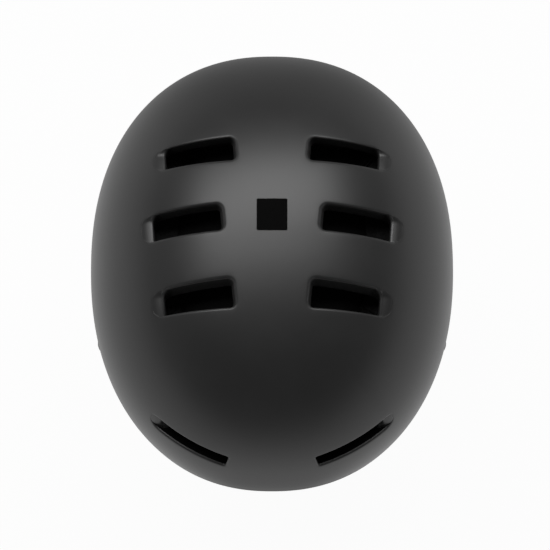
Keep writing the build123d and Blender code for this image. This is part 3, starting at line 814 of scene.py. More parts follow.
class Anchor:
    """Rivet and webbing end on the left wall; the strap leaves the helmet at its exit."""

    def __init__(self, name):
        y, z, shift = ANCHORS[name]
        outward = np.array([1.0, 0, 0])
        here, along, up = (
            self.strike(start, outward, 0)
            for start in ((0, y, z), (0, y + WEB_THICKNESS, z), (0, y, z + WEB_THICKNESS)))
        self.origin = here
        self.x = unit(along - here)
        self.z = unit(np.cross(along - here, up - here))
        self.y = np.cross(self.z, self.x)
        exit_y = here[1] - shift
        low = min(rim_height(exit_y - WEB_WIDTH / 2), rim_height(exit_y + WEB_WIDTH / 2))
        self.exit = self.strike((0, exit_y, low - EXIT_CLEARANCE), outward, TAB_INSET)
        down = self.exit - here
        self.run = unit(np.array([down.dot(self.x), down.dot(self.y)]))
        self.length = math.hypot(down.dot(self.x), down.dot(self.y))

    def strike(self, start, direction, inset):
        """Point of the dome at an inset, along a direction from a point inside."""
        start = np.array([start], float)
        return start[0] + Dome(inset).strike(start, direction)[0] * direction

    def beside(self, points):
        """How far points lie across and along the webbing's run on the left wall."""
        local = np.stack([(points - self.origin) @ self.x, (points - self.origin) @ self.y], axis=-1)
        return local @ np.array([-self.run[1], self.run[0]]), local @ self.run

    def on_wall(self, local, dome):
        """Points of a dome for places along and across the anchor's own plane."""
        starts = self.origin + local[:, :1] * self.x + local[:, 1:] * self.y - ANCHOR_START * self.z
        return starts + dome.strike(starts, self.z)[:, None] * self.z

    def tab(self, step):
        """Middle line of the webbing from above the rivet down to the exit."""
        count = max(3, round((self.length + TAB_OVER_RIVET) / step))
        lengths = np.linspace(-TAB_OVER_RIVET, self.length, count, endpoint=False)
        return self.on_wall(lengths[:, None] * self.run, Dome(TAB_INSET))


class Harness:
    """Plane of one side's hanging straps: u back along the hinge line, v up, w outwards."""

    def __init__(self, side):
        self.side = side
        joint = JOINTS["left_straps_swing"]
        self.origin = np.array(joint["pos_m"])
        self.u = unit(np.array(joint["axis"]))
        self.w = unit(np.array([self.u[1], -self.u[0], 0]))
        self.v = np.cross(self.w, self.u)

    def at(self, u, v, w=0.0):
        """A point or points of the plane, on this side."""
        u, v, w = (np.asarray(value, float)[..., None] for value in (u, v, w))
        return (self.origin + u * self.u + v * self.v + w * self.w) * (self.side, 1, 1)


def rounded_path(points, radius, step):
    """Evenly spaced points along a bent line whose corners are rounded."""
    points = [np.array(point, float) for point in points]
    track = [points[0]]
    for before, corner, after in zip(points[:-2], points[1:-1], points[2:]):
        toward, away = unit(before - corner), unit(after - corner)
        half = math.acos(np.clip(toward.dot(away), -1, 1)) / 2
        cut = min(radius / math.tan(half), 0.49 * np.linalg.norm(before - corner),
                  0.49 * np.linalg.norm(after - corner))
        bend = cut * math.tan(half)
        centre = corner + unit(toward + away) * bend / math.sin(half)
        start, end = corner + toward * cut - centre, corner + away * cut - centre
        sweep = math.pi - 2 * half
        for share in np.linspace(0, 1, max(4, int(sweep * bend / step * 2))):
            track.append(centre + (start * math.sin((1 - share) * sweep) + end * math.sin(share * sweep))
                         / math.sin(sweep))
    track.append(points[-1])
    return resampled(np.array(track), step)


def distances(track):
    """How far along a line each of its points lies."""
    return np.concatenate([[0], np.cumsum(np.linalg.norm(np.diff(track, axis=0), axis=1))])


def resampled(track, step):
    """Evenly spaced points along a line."""
    lengths = distances(track)
    places = np.linspace(0, lengths[-1], max(2, round(lengths[-1] / step) + 1))
    return np.stack([np.interp(places, lengths, column) for column in track.T], axis=-1)


def relaxed(track, rounds):
    """A line with its corners eased, its ends kept."""
    for _ in range(rounds):
        track = np.concatenate([track[:1], (track[:-2] + 2 * track[1:-1] + track[2:]) / 4, track[-1:]])
    return track


def webbing_mesh(name, track, facing, side):
    """Flat woven strip along a line on the left; facing is the normal at each of its points."""
    tangent = units(np.gradient(track, axis=0))
    facing = units(facing - (facing * tangent).sum(axis=1)[:, None] * tangent)
    across = np.cross(facing, tangent)
    turns = np.linspace(0, 2 * math.pi, WEB_SIDES, endpoint=False)
    section_x = WEB_WIDTH / 2 * squared(np.cos(turns), 0.45)
    section_y = WEB_THICKNESS / 2 * squared(np.sin(turns), 0.3)
    points, places = [], []
    for centre, b, n, length in zip(track, across, facing, distances(track)):
        points.append(centre + section_x[:, None] * b + section_y[:, None] * n)
        places.append(np.stack([section_x, np.full(WEB_SIDES, length), section_y], axis=-1))
    rows = np.arange(len(track) * WEB_SIDES).reshape(-1, WEB_SIDES)
    faces = bands(rows) + [rows[0][::-1], rows[-1]]
    mesh = plain_mesh(name, np.concatenate(points) * (side, 1, 1), faces)
    weave = mesh.attributes.new("weave", "FLOAT_VECTOR", "POINT")
    weave.data.foreach_set("vector", np.concatenate(places).ravel())
    turned_out(mesh)
    smooth(mesh, 50)
    return mesh


def strap_line(anchor, harness, rear):
    """Middle line and normals of one strap, from its rivet to its end in the divider."""
    tab = anchor.tab(WEB_STEP)
    exit_u = (anchor.exit - harness.origin).dot(harness.u)
    shift = FOLD_SHIFT if rear else -FOLD_SHIFT
    entry = -(DIVIDER_TOP + FOLD_SHIFT)
    end = -(DIVIDER_TOP + DIVIDER_HEIGHT - STRAP_END)
    flat = rounded_path(
        [(exit_u, 0), (DIVIDER_BACK + shift, entry), (DIVIDER_BACK, end)], FOLD_RADIUS, WEB_STEP)
    sink = eased(-flat[:, 1] / (0.5 * DIVIDER_TOP)) * (-LAYER if rear else LAYER)
    hanging = harness.origin + flat[:, :1] * harness.u + flat[:, 1:] * harness.v + sink[:, None] * harness.w
    track = relaxed(np.concatenate([tab, hanging]), STRAP_EASING)

    # The normals turn from the wall's to the harness plane's over ten points, of which six are above the exit
    share = np.clip((np.arange(len(track)) - len(tab) + 6) / 10, 0, 1)[:, None]
    return track, anchor.z * (1 - share) + harness.w * share


def chin_line(harness):
    """Middle line of the chin webbing: down, round the buckle's bar and back up its own front."""
    top = CHIN_START - CHIN_LENGTH
    spread_at, bar = top + 2 * LOOP_SPREAD, top - BAR_DROP
    sewn = WEB_THICKNESS * SEWN_SHARE
    flat = rounded_path([
        (CHIN_TOP + CHIN_HIDDEN, 0), (DOUBLE_LOW, 0), (spread_at, -LOOP_SPREAD), (bar, -LOOP_SPREAD),
        (bar, LOOP_SPREAD), (spread_at, LOOP_SPREAD), (DOUBLE_LOW, sewn), (DOUBLE_LOW + DOUBLE_LENGTH, sewn),
    ], LOOP_RADIUS, CHIN_STEP)
    track = harness.origin + DIVIDER_BACK * harness.u + flat[:, :1] * harness.v + flat[:, 1:] * harness.w
    tangent = np.gradient(track, axis=0)
    return track, -np.cross(tangent, harness.u)


def back_inset(anchors, points):
    """Inset of the liner's back, deeper where the webbing runs."""
    inset = np.full(len(points), LINER_BACK)
    left = np.stack([np.abs(points[:, 0]), points[:, 1], points[:, 2]], axis=-1)
    for anchor in anchors:
        across, along = anchor.beside(left)
        wide = np.clip((SLOT_HALF + SLOT_EASE - np.abs(across)) / SLOT_EASE, 0, 1)
        low = np.clip((along + TAB_OVER_RIVET + SLOT_OVER_TAB) / SLOT_EASE, 0, 1)
        inset = inset + SLOT_DEPTH * wide * low * (left[:, 0] > HALF_WIDTH / 2)
    return inset


def cavity_inset(points):
    """Inset of the liner's inside, less along the air grooves."""
    beside = np.abs(np.abs(points[:, 0]) - GROOVE_X)
    wide = eased((GROOVE_HALF + GROOVE_EASE / 2 - beside) / GROOVE_EASE)
    high = eased((points[:, 2] - GROOVE_FLOOR) / GROOVE_EASE)
    return CAVITY - GROOVE_DEPTH * wide * high


def channel(skin, vent, outer, inner):
    """A vent's channel through the liner; returns its edges at the back and inside."""
    places = vent.outline(VENT_FLANGE + LINER_GAP)
    top, low = vent.on(outer, places), vent.on(inner, places)
    for _ in range(3):
        found = vent.base(places) + low[:, None] * vent.pull
        low = vent.on(Dome(cavity_inset(found), tucked=False), places)
    shares = np.linspace(0, 1, 9)
    skin.join([skin.add(vent.place(places, top * (1 - share) + low * share)) for share in shares])
    return vent.place(places, top), vent.place(places, low)


def liner_rim(outer, inner, back, inside_round):
    """Rings of the liner's lower edge, rounded a little at its back and more inside."""
    turns = np.linspace(0, 2 * math.pi, LINER_RIM_POINTS, endpoint=False)

    def ring(share, lift):
        """Ring part of the way from the back to the inside; its height follows its own Y."""
        y = outer.at(np.full(len(turns), SIDE_RIM_HEIGHT), turns)[:, 1]
        inset = np.full(len(turns), LINER_BACK)
        for _ in range(10):
            z = rim_height(y) + LINER_RECESS + lift
            outside = outer.at(z, turns, inset)
            points = outside * (1 - share) + inner.at(z, turns) * share
            y = points[:, 1]
            inset = back(outside)
        return points

    flat = [ring(share, 0) for share in (0.25, 0.5, 0.7)]
    back_edge = rounded_edge(ring, BACK_ROUND, LINER_THICKNESS, False, 7)
    return back_edge + flat + rounded_edge(ring, inside_round, LINER_THICKNESS, True, 7)


def slot_points(anchors, outer):
    """Close points of the liner's back along both sides of the webbing slots."""
    found = []
    for anchor in anchors:
        for across in (-SLOT_HALF - SLOT_EASE, -SLOT_HALF, SLOT_HALF, SLOT_HALF + SLOT_EASE):
            run = np.arange(-TAB_OVER_RIVET - SLOT_OVER_TAB, anchor.length, FINE_SPACING)
            local = run[:, None] * anchor.run + across * np.array([-anchor.run[1], anchor.run[0]])
            found.append(anchor.on_wall(local, outer))
    return both_sides(found)


def groove_points(inner):
    """Close points of the liner's inside along the air grooves."""
    found = []
    up = np.array([0, 0, 1.0])
    for across in (-GROOVE_EASE / 2, 0, GROOVE_EASE / 2):
        for edge in (GROOVE_X - GROOVE_HALF + across, GROOVE_X + GROOVE_HALF + across):
            run = np.arange(-FRONT_LENGTH, REAR_LENGTH, FINE_SPACING)
            starts = np.stack(np.broadcast_arrays(edge, run, GROOVE_FLOOR), axis=-1)
            starts = starts[inner.holds(starts)]
            found.append(starts + inner.strike(starts, up)[:, None] * up)
    for lift in (0, GROOVE_EASE):
        for way in (-1.0, 1.0):
            run = np.arange(GROOVE_X - GROOVE_HALF, GROOVE_X + GROOVE_HALF, FINE_SPACING)
            starts = np.stack(np.broadcast_arrays(run, 0.0, GROOVE_FLOOR + lift), axis=-1)
            ahead = np.array([0, way, 0])
            found.append(starts + inner.strike(starts, ahead)[:, None] * ahead)
    return both_sides(found)


def both_sides(stretches):
    """Stretches of points on the left, each followed by its mirror image."""
    return np.concatenate([points * (side, 1, 1) for points in stretches for side in (1, -1)])


def liner_mesh(settings, vents):
    """The bead foam liner: its back against the shell, vent channels, air grooves and rim."""
    skin = Skin()
    outer, inner = Dome(LINER_BACK), Dome(CAVITY, tucked=False)
    anchors = [Anchor(name) for name in ANCHORS]
    back = partial(back_inset, anchors)
    channels = [channel(skin, vent, outer, inner) for vent in vents]
    outer_holes, inner_holes = zip(*channels)
    edges = liner_rim(outer, inner, back, settings.liner_round)
    skin.join([skin.add(edge) for edge in edges])
    skin.patch(outer, [edges[0], *outer_holes], BACK_SPACING, back, slot_points(anchors, outer))
    skin.patch(inner, [edges[-1], *inner_holes], settings.liner_spacing, cavity_inset, groove_points(inner))
    mesh = skin.mesh("foam_liner_skin")
    smooth(mesh, 40)
    return mesh


class PadPlace:
    """Flat layout of a pad and the direction in which it meets the liner."""

    def __init__(self, origin, across, up, facing, half, corner, seams):
        self.origin, self.across, self.up, self.facing = (
            np.array(vector, float) for vector in (origin, across, up, facing))
        self.half = np.array(half)
        self.corner = corner
        self.seams = seams

    def strike(self, places):
        """Points of the pad's back on the liner."""
        starts = self.origin + places[:, :1] * self.across + places[:, 1:] * self.up
        return starts + Dome(PAD_BACK, tucked=False).strike(starts, self.facing)[:, None] * self.facing

    def normals(self, places):
        """Normals towards the head."""
        step = 0.5 * MM
        ahead = self.strike(places + (step, 0)) - self.strike(places - (step, 0))
        above = self.strike(places + (0, step)) - self.strike(places - (0, step))
        normal = units(np.cross(ahead, above))
        return normal * -np.sign(normal @ self.facing)[:, None]

    def margin(self, places):
        """Distance from places to the pad's rounded outline, inwards."""
        beyond = np.abs(places) - (self.half - self.corner)
        outside = np.hypot(*np.maximum(beyond, 0).T)
        inside = np.minimum(beyond.max(axis=1), 0)
        return self.corner - outside - inside

    def outline(self, inward, step):
        """The rounded outline, at a distance inside it."""
        half, radius = self.half - inward, max(self.corner - inward, step)
        core = half - radius
        points = []
        steps = max(5, round(radius * math.pi / 2 / step))
        for turn, (x, y) in enumerate(((1, 1), (-1, 1), (-1, -1), (1, -1))):
            for angle in np.linspace(turn, turn + 1, steps) * math.pi / 2:
                points.append(core * (x, y) + radius * np.array([math.cos(angle), math.sin(angle)]))
        points.append(points[0])
        return resampled(np.array(points), step)[:-1]

    def seam_line(self, seam, run):
        """Straight line of a seam, for a run of places up the pad."""
        return np.stack([np.full(len(run), seam * self.half[0]), run], axis=-1)

    def seam_gap(self, places):
        """Distance from places to the nearest seam."""
        return np.min([np.abs(places[:, 0] - seam * self.half[0]) for seam in self.seams], axis=0)


def pad_places():
    """The five pads inside the liner."""
    across, ahead, up = (1, 0, 0), (0, 1, 0), (0, 0, 1)
    places = {
        "front_pad": PadPlace(
            (0, 0, 56 * MM), across, up, (0, -1, 0), (66 * MM, 15 * MM), PAD_CORNER, (-0.5, 0.0, 0.5)),
        "rear_pad": PadPlace(
            (0, 0, 26 * MM), across, up, ahead, (46 * MM, 14 * MM), PAD_CORNER, (-0.35, 0.35)),
        "crown_pad": PadPlace(
            (0, 18 * MM, 0), across, ahead, up, (78 * MM, 66 * MM), CROWN_PAD_CORNER, (-0.36, 0.36)),
    }
    for side, name in ((1, "left"), (-1, "right")):
        places[f"side_pad_{name}"] = PadPlace(
            (0, 0, 47 * MM), ahead, up, (side, 0, 0), (36 * MM, 17 * MM), PAD_CORNER, (0.0,))
    return places


def pad_mesh(name, place, settings):
    """A sewn cushion: flat back, crowned face, welded border and seams, inflated as cloth."""
    spacing = settings.pad_spacing
    outline = place.outline(0, spacing)
    x = np.arange(-place.half[0], place.half[0] + spacing, spacing)
    y = np.arange(-place.half[1], place.half[1] + spacing, spacing * GRID_ROWS)
    grid = np.stack(np.meshgrid(x, y), axis=-1)
    grid[1::2, :, 0] += spacing / 2
    reach = place.half[1] - spacing
    run = np.linspace(-reach, reach, max(3, round(2 * reach / spacing)))
    lines = [place.seam_line(seam, run) for seam in place.seams]
    coords, triangles, _ = fill([outline], grid.reshape(-1, 2), spacing, lines)

    # Thickness: a round shoulder inside the welded border, pressed down at the seams
    margin, gap = np.maximum(place.margin(coords), 0), place.seam_gap(coords)
    border, full = settings.pad_border, PAD_THICKNESS * PAD_SHARE_BEFORE_AIR
    share = np.clip((margin - border) / PAD_RAMP, 0, 1)
    thick = PAD_WELD + (full - PAD_WELD) * np.sqrt(1 - (1 - share) ** 2)
    thick = thick - np.exp(-((gap / PAD_SEAM_REACH) ** 2)) * (thick - PAD_PRESSED).clip(0)
    back, normals = place.strike(coords), place.normals(coords)
    face = back + normals * thick[:, None]

    # The back, the face and a strip between them along the outline's open edges
    count = len(coords)
    faces = [tuple(t) for t in triangles] + [tuple(t[::-1] + count) for t in triangles]
    edge = margin < 0.02 * MM
    sides = {(t[i], t[(i + 1) % 3]): True for t in triangles for i in range(3)}
    faces += [
        (b, a, a + count, b + count) for a, b in sides if (b, a) not in sides and edge[a] and edge[b]]
    mesh = plain_mesh(name, np.concatenate([back, face]), faces)
    turned_out(mesh)
    pinned = np.concatenate([np.ones(count, bool), (margin < border) | (gap < PAD_SEAM_HELD)])
    mesh = inflated(mesh, pinned, settings)
    cushion = linked(name, mesh)
    level = cushion.modifiers.new("fine", "SUBSURF")
    level.levels = level.render_levels = 1
    result = baked(cushion)
    smooth(result, 70)
    return result


def chin_pad_mesh(harness, settings):
    """Cushion towards the chin with a flat cloth sleeve round the webbing."""
    half_u, half_v = CHIN_PAD_SIZE[0] / 2, CHIN_PAD_SIZE[1] / 2
    corner, weld = 3.4 * MM, 2.4 * MM
    tunnel_u, tunnel_w = WEB_WIDTH / 2 + 0.3 * MM, WEB_THICKNESS / 2 + 0.3 * MM
    seam, flat = -1.0 * MM, 3.05 * MM
    middle = CHIN_START - CHIN_PAD_DROP - half_v
    turns = np.linspace(0, 2 * math.pi, 72, endpoint=False)
    cosine, sine = np.cos(turns), np.sin(turns)
    skin = Skin()
    rows, holes, pinned = [], [], []
    for along in -np.cos(np.linspace(0, math.pi, 40)):
        v = along * half_v
        into = max(0, abs(v) - (half_v - corner)) / corner
        half = half_u - corner * (1 - math.sqrt(max(0, 1 - into**2)))
        near = np.clip((half_v - abs(v)) / (0.6 * half_v), 0, 1)
        bulge = weld + (CHIN_PAD_THICKNESS - weld) * math.sqrt(1 - (1 - near) ** 2)
        w = np.where(sine > 0, seam + flat * np.abs(sine) ** 0.5, seam - bulge * np.abs(sine) ** 0.75)
        rows.append(skin.add(harness.at(DIVIDER_BACK + half * squared(cosine, 0.4), middle + v, w)))
        pinned.append((sine > -0.3) | (near < 0.12))
        u, w = tunnel_u * squared(cosine, 0.2), tunnel_w * squared(sine, 0.4)
        holes.append(skin.add(harness.at(DIVIDER_BACK + u, middle + v, w)))
        pinned.append(np.ones(len(turns), bool))
    skin.join(rows)
    skin.join(holes)
    for end in (0, -1):
        skin.join([rows[end], holes[end]])
    mesh = skin.mesh("chin_pad_cover", merge=0)
    mesh = inflated(mesh, np.concatenate(pinned), settings)
    smooth(mesh, 60)
    return mesh


def inflated(mesh, pinned, settings):
    """The mesh after a short cloth simulation with pressure inside, its movement capped."""
    start = np.array([v.co for v in mesh.vertices], float)
    scene = bpy.context.scene
    cushion = linked("inflating", mesh)
    group = cushion.vertex_groups.new(name="pinned")
    group.add([int(i) for i in np.where(pinned)[0]], 1.0, "ADD")
    cloth = cushion.modifiers.new("cloth", "CLOTH")
    cloth.settings.vertex_group_mass = "pinned"
    cloth.settings.use_pressure = True
    cloth.settings.uniform_pressure_force = settings.pad_pressure
    cloth.settings.shrink_min = -0.05
    cloth.settings.effector_weights.gravity = 0
    cloth.settings.tension_stiffness = cloth.settings.compression_stiffness = 8
    cloth.settings.bending_stiffness = 0.3
    cloth.collision_settings.use_collision = False
    cloth.point_cache.frame_end = INFLATION_STEPS
    for step in range(1, INFLATION_STEPS + 1):
        scene.frame_set(step)
    depsgraph = bpy.context.evaluated_depsgraph_get()
    result = bpy.data.meshes.new_from_object(cushion.evaluated_get(depsgraph))
    end = np.array([v.co for v in result.vertices], float)
    move = end - start
    length = np.linalg.norm(move, axis=1)
    cap = settings.pad_cap * np.tanh(length / settings.pad_cap)
    move *= (cap / np.maximum(length, 1e-9))[:, None]
    move[pinned] = 0
    result.vertices.foreach_set("co", (start + move).ravel())
    result.update()
    bpy.data.objects.remove(cushion)
    scene.frame_set(1)
    return result


def baked(piece):
    """The piece's mesh with its modifiers applied; the piece itself goes."""
    depsgraph = bpy.context.evaluated_depsgraph_get()
    mesh = bpy.data.meshes.new_from_object(piece.evaluated_get(depsgraph))
    mesh.name = piece.name
    bpy.data.objects.remove(piece)
    return mesh


def moulded(node, bevel, finish):
    """A rigid node's own form with its edges rounded, as it comes out of the mould."""
    mesh = frame["nodes"][node].data.copy()
    form = bmesh.new()
    form.from_mesh(mesh)
    bmesh.ops.remove_doubles(form, verts=form.verts, dist=0.002 * MM)
    bmesh.ops.dissolve_limit(form, angle_limit=math.radians(0.6), verts=form.verts, edges=form.edges)
    form.to_mesh(mesh)
    form.free()
    draft = linked(node, mesh)
    rounding = draft.modifiers.new("rounding", "BEVEL")
    rounding.width = bevel
    rounding.segments = 3
    rounding.limit_method = "ANGLE"
    rounding.angle_limit = math.radians(35)
    rounding.harden_normals = True
    mesh.shade_smooth()
    result = baked(draft)
    piece = finished(f"{node}_moulded", result, frame["nodes"][node]["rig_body"], finish)
    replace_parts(piece, node)


class Tree:
    """A geometry node tree with named inputs, put together node by node."""

    def __init__(self, name, inputs):
        self.group = bpy.data.node_groups.new(name, "GeometryNodeTree")
        sockets = self.group.interface
        sockets.new_socket("Geometry", in_out="INPUT", socket_type="NodeSocketGeometry")
        for label, kind, value in inputs:
            socket = sockets.new_socket(label, in_out="INPUT", socket_type=kind)
            if value is not None:
                socket.default_value = value
        sockets.new_socket("Geometry", in_out="OUTPUT", socket_type="NodeSocketGeometry")
        self.given = self.group.nodes.new("NodeGroupInput")

    def add(self, kind, settings=None, inputs=None):
        """Adds a node, sets it and feeds its sockets by name or number."""
        node = self.group.nodes.new(kind)
        for name, value in (settings or {}).items():
            setattr(node, name, value)
        for name, value in (inputs or {}).items():
            if isinstance(value, bpy.types.NodeSocket):
                self.group.links.new(value, node.inputs[name])
            else:
                node.inputs[name].default_value = value
        return node

    def close(self, geometry, material):
        """Ends the tree in plain geometry with its material."""
        real = self.add("GeometryNodeRealizeInstances", inputs={"Geometry": geometry})
        painted = self.add("GeometryNodeSetMaterial", inputs={
            "Geometry": real.outputs[0], "Material": material})
        out = self.group.nodes.new("NodeGroupOutput")
        self.group.links.new(painted.outputs[0], out.inputs[0])

    def place_balls(self, points, way, ball, width, height):
        """Puts stretched balls on points, their heights along a direction, and ends the tree."""
        turn = self.add("FunctionNodeAlignRotationToVector", {"axis": "Z"}, {"Vector": way})
        shape = self.add("GeometryNodeMeshUVSphere", inputs=ball)
        size = self.add("ShaderNodeCombineXYZ", inputs={"X": width, "Y": width, "Z": height})
        places = self.add("GeometryNodeInstanceOnPoints", inputs={
            "Points": points, "Instance": shape.outputs[0], "Rotation": turn.outputs[0],
            "Scale": size.outputs[0]})
        self.close(places.outputs[0], self.given.outputs["Material"])

    def run(self, name, mesh, values):
        """The mesh that the tree makes from another mesh."""
        source = linked(name, mesh)
        modifier = source.modifiers.new("nodes", "NODES")
        modifier.node_group = self.group
        for item in self.group.interface.items_tree:
            if item.in_out == "INPUT" and item.name in values:
                modifier[item.identifier] = values[item.name]
        return baked(source)


def stitch_tree():
    """Thread stitches laid end to end along paths."""
    tree = Tree("thread_stitches", [
        ("Pitch", "NodeSocketFloat", 2.6 * MM), ("Stitch Length", "NodeSocketFloat", 2.0 * MM),
        ("Thread", "NodeSocketFloat", 0.45 * MM), ("Material", "NodeSocketMaterial", None)])
    given = tree.given.outputs
    curve = tree.add("GeometryNodeMeshToCurve", inputs={"Mesh": given["Geometry"]})
    even = tree.add("GeometryNodeResampleCurve", {"mode": "LENGTH"},
                    {"Curve": curve.outputs[0], "Length": given["Pitch"]})
    tangent = tree.add("GeometryNodeInputTangent")
    tree.place_balls(even.outputs[0], tangent.outputs[0], {"Segments": 8, "Rings": 6, "Radius": 0.5},
                     given["Thread"], given["Stitch Length"])
    return tree


def rivet_tree():
    """Low domed rivet heads on the points of a mesh, facing along its attribute."""
    tree = Tree("rivet_heads", [
        ("Head Radius", "NodeSocketFloat", RIVET_RADIUS), ("Head Height", "NodeSocketFloat", RIVET_HEIGHT),
        ("Material", "NodeSocketMaterial", None)])
    given = tree.given.outputs
    facing = tree.add("GeometryNodeInputNamedAttribute", {"data_type": "FLOAT_VECTOR"}, {"Name": "facing"})
    tree.place_balls(given["Geometry"], facing.outputs[0], {"Segments": 48, "Rings": 24, "Radius": 1.0},
                     given["Head Radius"], given["Head Height"])
    return tree


def path_mesh(name, paths):
    """Open paths as a mesh of edges."""
    points, edges = [], []
    for path in paths:
        edges += [(len(points) + i, len(points) + i + 1) for i in range(len(path) - 1)]
        points += [tuple(point) for point in path]
    mesh = bpy.data.meshes.new(name)
    mesh.from_pydata(points, edges, [])
    return mesh


class Number:
    """A shader value with the usual arithmetic; each step becomes a Math node."""

    def __init__(self, finish, socket):
        self.finish = finish
        self.socket = socket

    def __add__(self, other):
        return self.finish.maths("ADD", self, other)

    def __radd__(self, other):
        return self.finish.maths("ADD", other, self)

    def __sub__(self, other):
        return self.finish.maths("SUBTRACT", self, other)

    def __rsub__(self, other):
        return self.finish.maths("SUBTRACT", other, self)

    def __mul__(self, other):
        return self.finish.maths("MULTIPLY", self, other)

    def __rmul__(self, other):
        return self.finish.maths("MULTIPLY", other, self)

    def __truediv__(self, other):
        return self.finish.maths("DIVIDE", self, other)

    def __rtruediv__(self, other):
        return self.finish.maths("DIVIDE", other, self)

    def __neg__(self):
        return 0.0 - self


class Nodes:
    """A shader's nodes, with one method that adds any of them."""

    def __init__(self, owner):
        owner.use_nodes = True
        self.tree = owner.node_tree
        self.tree.nodes.clear()

    def add(self, kind, settings=None, inputs=None, output=0):
        """Adds a node, sets it, feeds its sockets and returns one of its outputs, or several."""
        node = self.tree.nodes.new(kind)
        for name, value in (settings or {}).items():
            setattr(node, name, value)
        for name, value in (inputs or {}).items():
            if isinstance(value, Number):
                self.tree.links.new(value.socket, node.inputs[name])
            else:
                node.inputs[name].default_value = value
        if isinstance(output, tuple):
            return [Number(self, node.outputs[name]) for name in output]
        return Number(self, node.outputs[output])

    def end(self, kind, shader):
        """Adds the output node."""
        self.tree.links.new(shader.socket, self.tree.nodes.new(kind).inputs["Surface"])

    def maths(self, operation, first, second=0.0):
        """A Math node on two values."""
        return self.add("ShaderNodeMath", {"operation": operation}, {0: first, 1: second})

    def rays(self):
        """Whether a ray comes from the camera, from a gloss or through a clear material."""
        kinds = ("Is Camera Ray", "Is Glossy Ray", "Is Transmission Ray")
        return self.add("ShaderNodeLightPath", output=kinds)

    def ease(self, value, low, high, to_low=0.0, to_high=1.0):
        """Value carried smoothly from one range to another."""
        inputs = {"Value": value, "From Min": low, "From Max": high, "To Min": to_low, "To Max": to_high}
        return self.add("ShaderNodeMapRange", {"interpolation_type": "SMOOTHSTEP"}, inputs)

    def mix(self, factor, first, second):
        """Mix of two colours, each four numbers or a link."""
        inputs = {0: factor, 6: first, 7: second}
        return self.add("ShaderNodeMix", {"data_type": "RGBA"}, inputs, output=2)

    def blend(self, factor, first, second):
        """Mix of two surface shaders."""
        return self.add("ShaderNodeMixShader", inputs={0: factor, 1: first, 2: second})


class Finish(Nodes):
    """A material's nodes, with patterns that lie on the piece."""

    def __init__(self, name):
        self.material = bpy.data.materials.new(name)
        super().__init__(self.material)
        self.place = self.add("ShaderNodeTexCoord", output="Object")

    def noise(self, scale, detail=3.0, roughness=0.55, place=None):
        """Noise from 0 to 1 with a scale in repeats a metre."""
        inputs = {"Vector": place or self.place, "Scale": scale, "Detail": detail, "Roughness": roughness}
        return self.add("ShaderNodeTexNoise", inputs=inputs)

    def vector(self, operation, first, second=None, output=0):
        """A Vector Math node."""
        inputs = {0: first} if second is None else {0: first, 1: second}
        return self.add("ShaderNodeVectorMath", {"operation": operation}, inputs, output)

    def to_head(self):
        """1 where a surface faces into the helmet, 0 where it faces out or stands across; the mask of the
        painted shade on faces turned out.
        """
        outward = self.vector("NORMALIZE", self.vector("SUBTRACT", self.place, (0, 0, BULGE_HEIGHT)))
        normal = self.add("ShaderNodeTexCoord", output="Normal")
        return self.ease(self.vector("DOT_PRODUCT", outward, normal, 1), -0.45, -0.1, 1.0, 0.0)

    def bump(self, height, depth, strength=1.0, normal=None):
        """Bump of a depth in metres."""
        inputs = {"Height": height, "Distance": depth, "Strength": strength}
        if normal is not None:
            inputs["Normal"] = normal
        return self.add("ShaderNodeBump", inputs=inputs)

    def close(self, **inputs):
        """Ends in one surface shader, whose sockets are named with underscores for spaces."""
        sockets = {name.replace("_", " "): value for name, value in inputs.items()}
        self.end("ShaderNodeOutputMaterial", self.add("ShaderNodeBsdfPrincipled", inputs=sockets))
        return self.material


def grey(level):
    """A grey as a colour."""
    return (level, level, level, 1.0)


def made_once(name, make):
    """The material of a name, made if there is none yet."""
    return bpy.data.materials.get(name) or make()


def shell_finish(settings):
    """Matt black moulded plastic: fine grain, faint mottling, and painted light on the walls of the top
    vents, which are coloured lighter.
    """
    finish = Finish("shell_plastic")
    grain = finish.noise(1500, 2.0)
    orange_peel = finish.noise(160, 3.0)
    mottle = finish.noise(24, 4.0)
    level = settings.shell_grey
    # Painted light: the top vents' walls carry the mark -1 and are coloured 2.6 times lighter than the shell
    wall = -finish.add("ShaderNodeAttribute", {"attribute_name": "shade"}, output=2)
    colour = finish.mix(finish.ease(mottle, 0.35, 0.68), grey(level * 0.92), grey(level * 1.08))
    colour = finish.mix(wall, colour, grey(level * 2.6))
    rough = settings.shell_roughness + (mottle - 0.5) * 0.05 + (grain - 0.5) * 0.06
    normal = finish.bump(orange_peel, 0.02 * MM, 0.5)
    normal = finish.bump(grain, 0.012 * MM, 0.6, normal)
    return finish.close(Base_Color=colour, Roughness=rough, Normal=normal, Specular_IOR_Level=0.5)


def flat_black(name):
    """Flat black with no gloss: the crown plate's own colour, and painted shade on the walls of the side
    slots.
    """
    finish = Finish(name)
    normal = finish.bump(finish.noise(1200, 2.0), 0.01 * MM, 0.4)
    rough = 0.9 + (finish.noise(300) - 0.5) * 0.1
    return finish.close(Base_Color=grey(0.002), Roughness=rough, Normal=normal, Specular_IOR_Level=0.05)


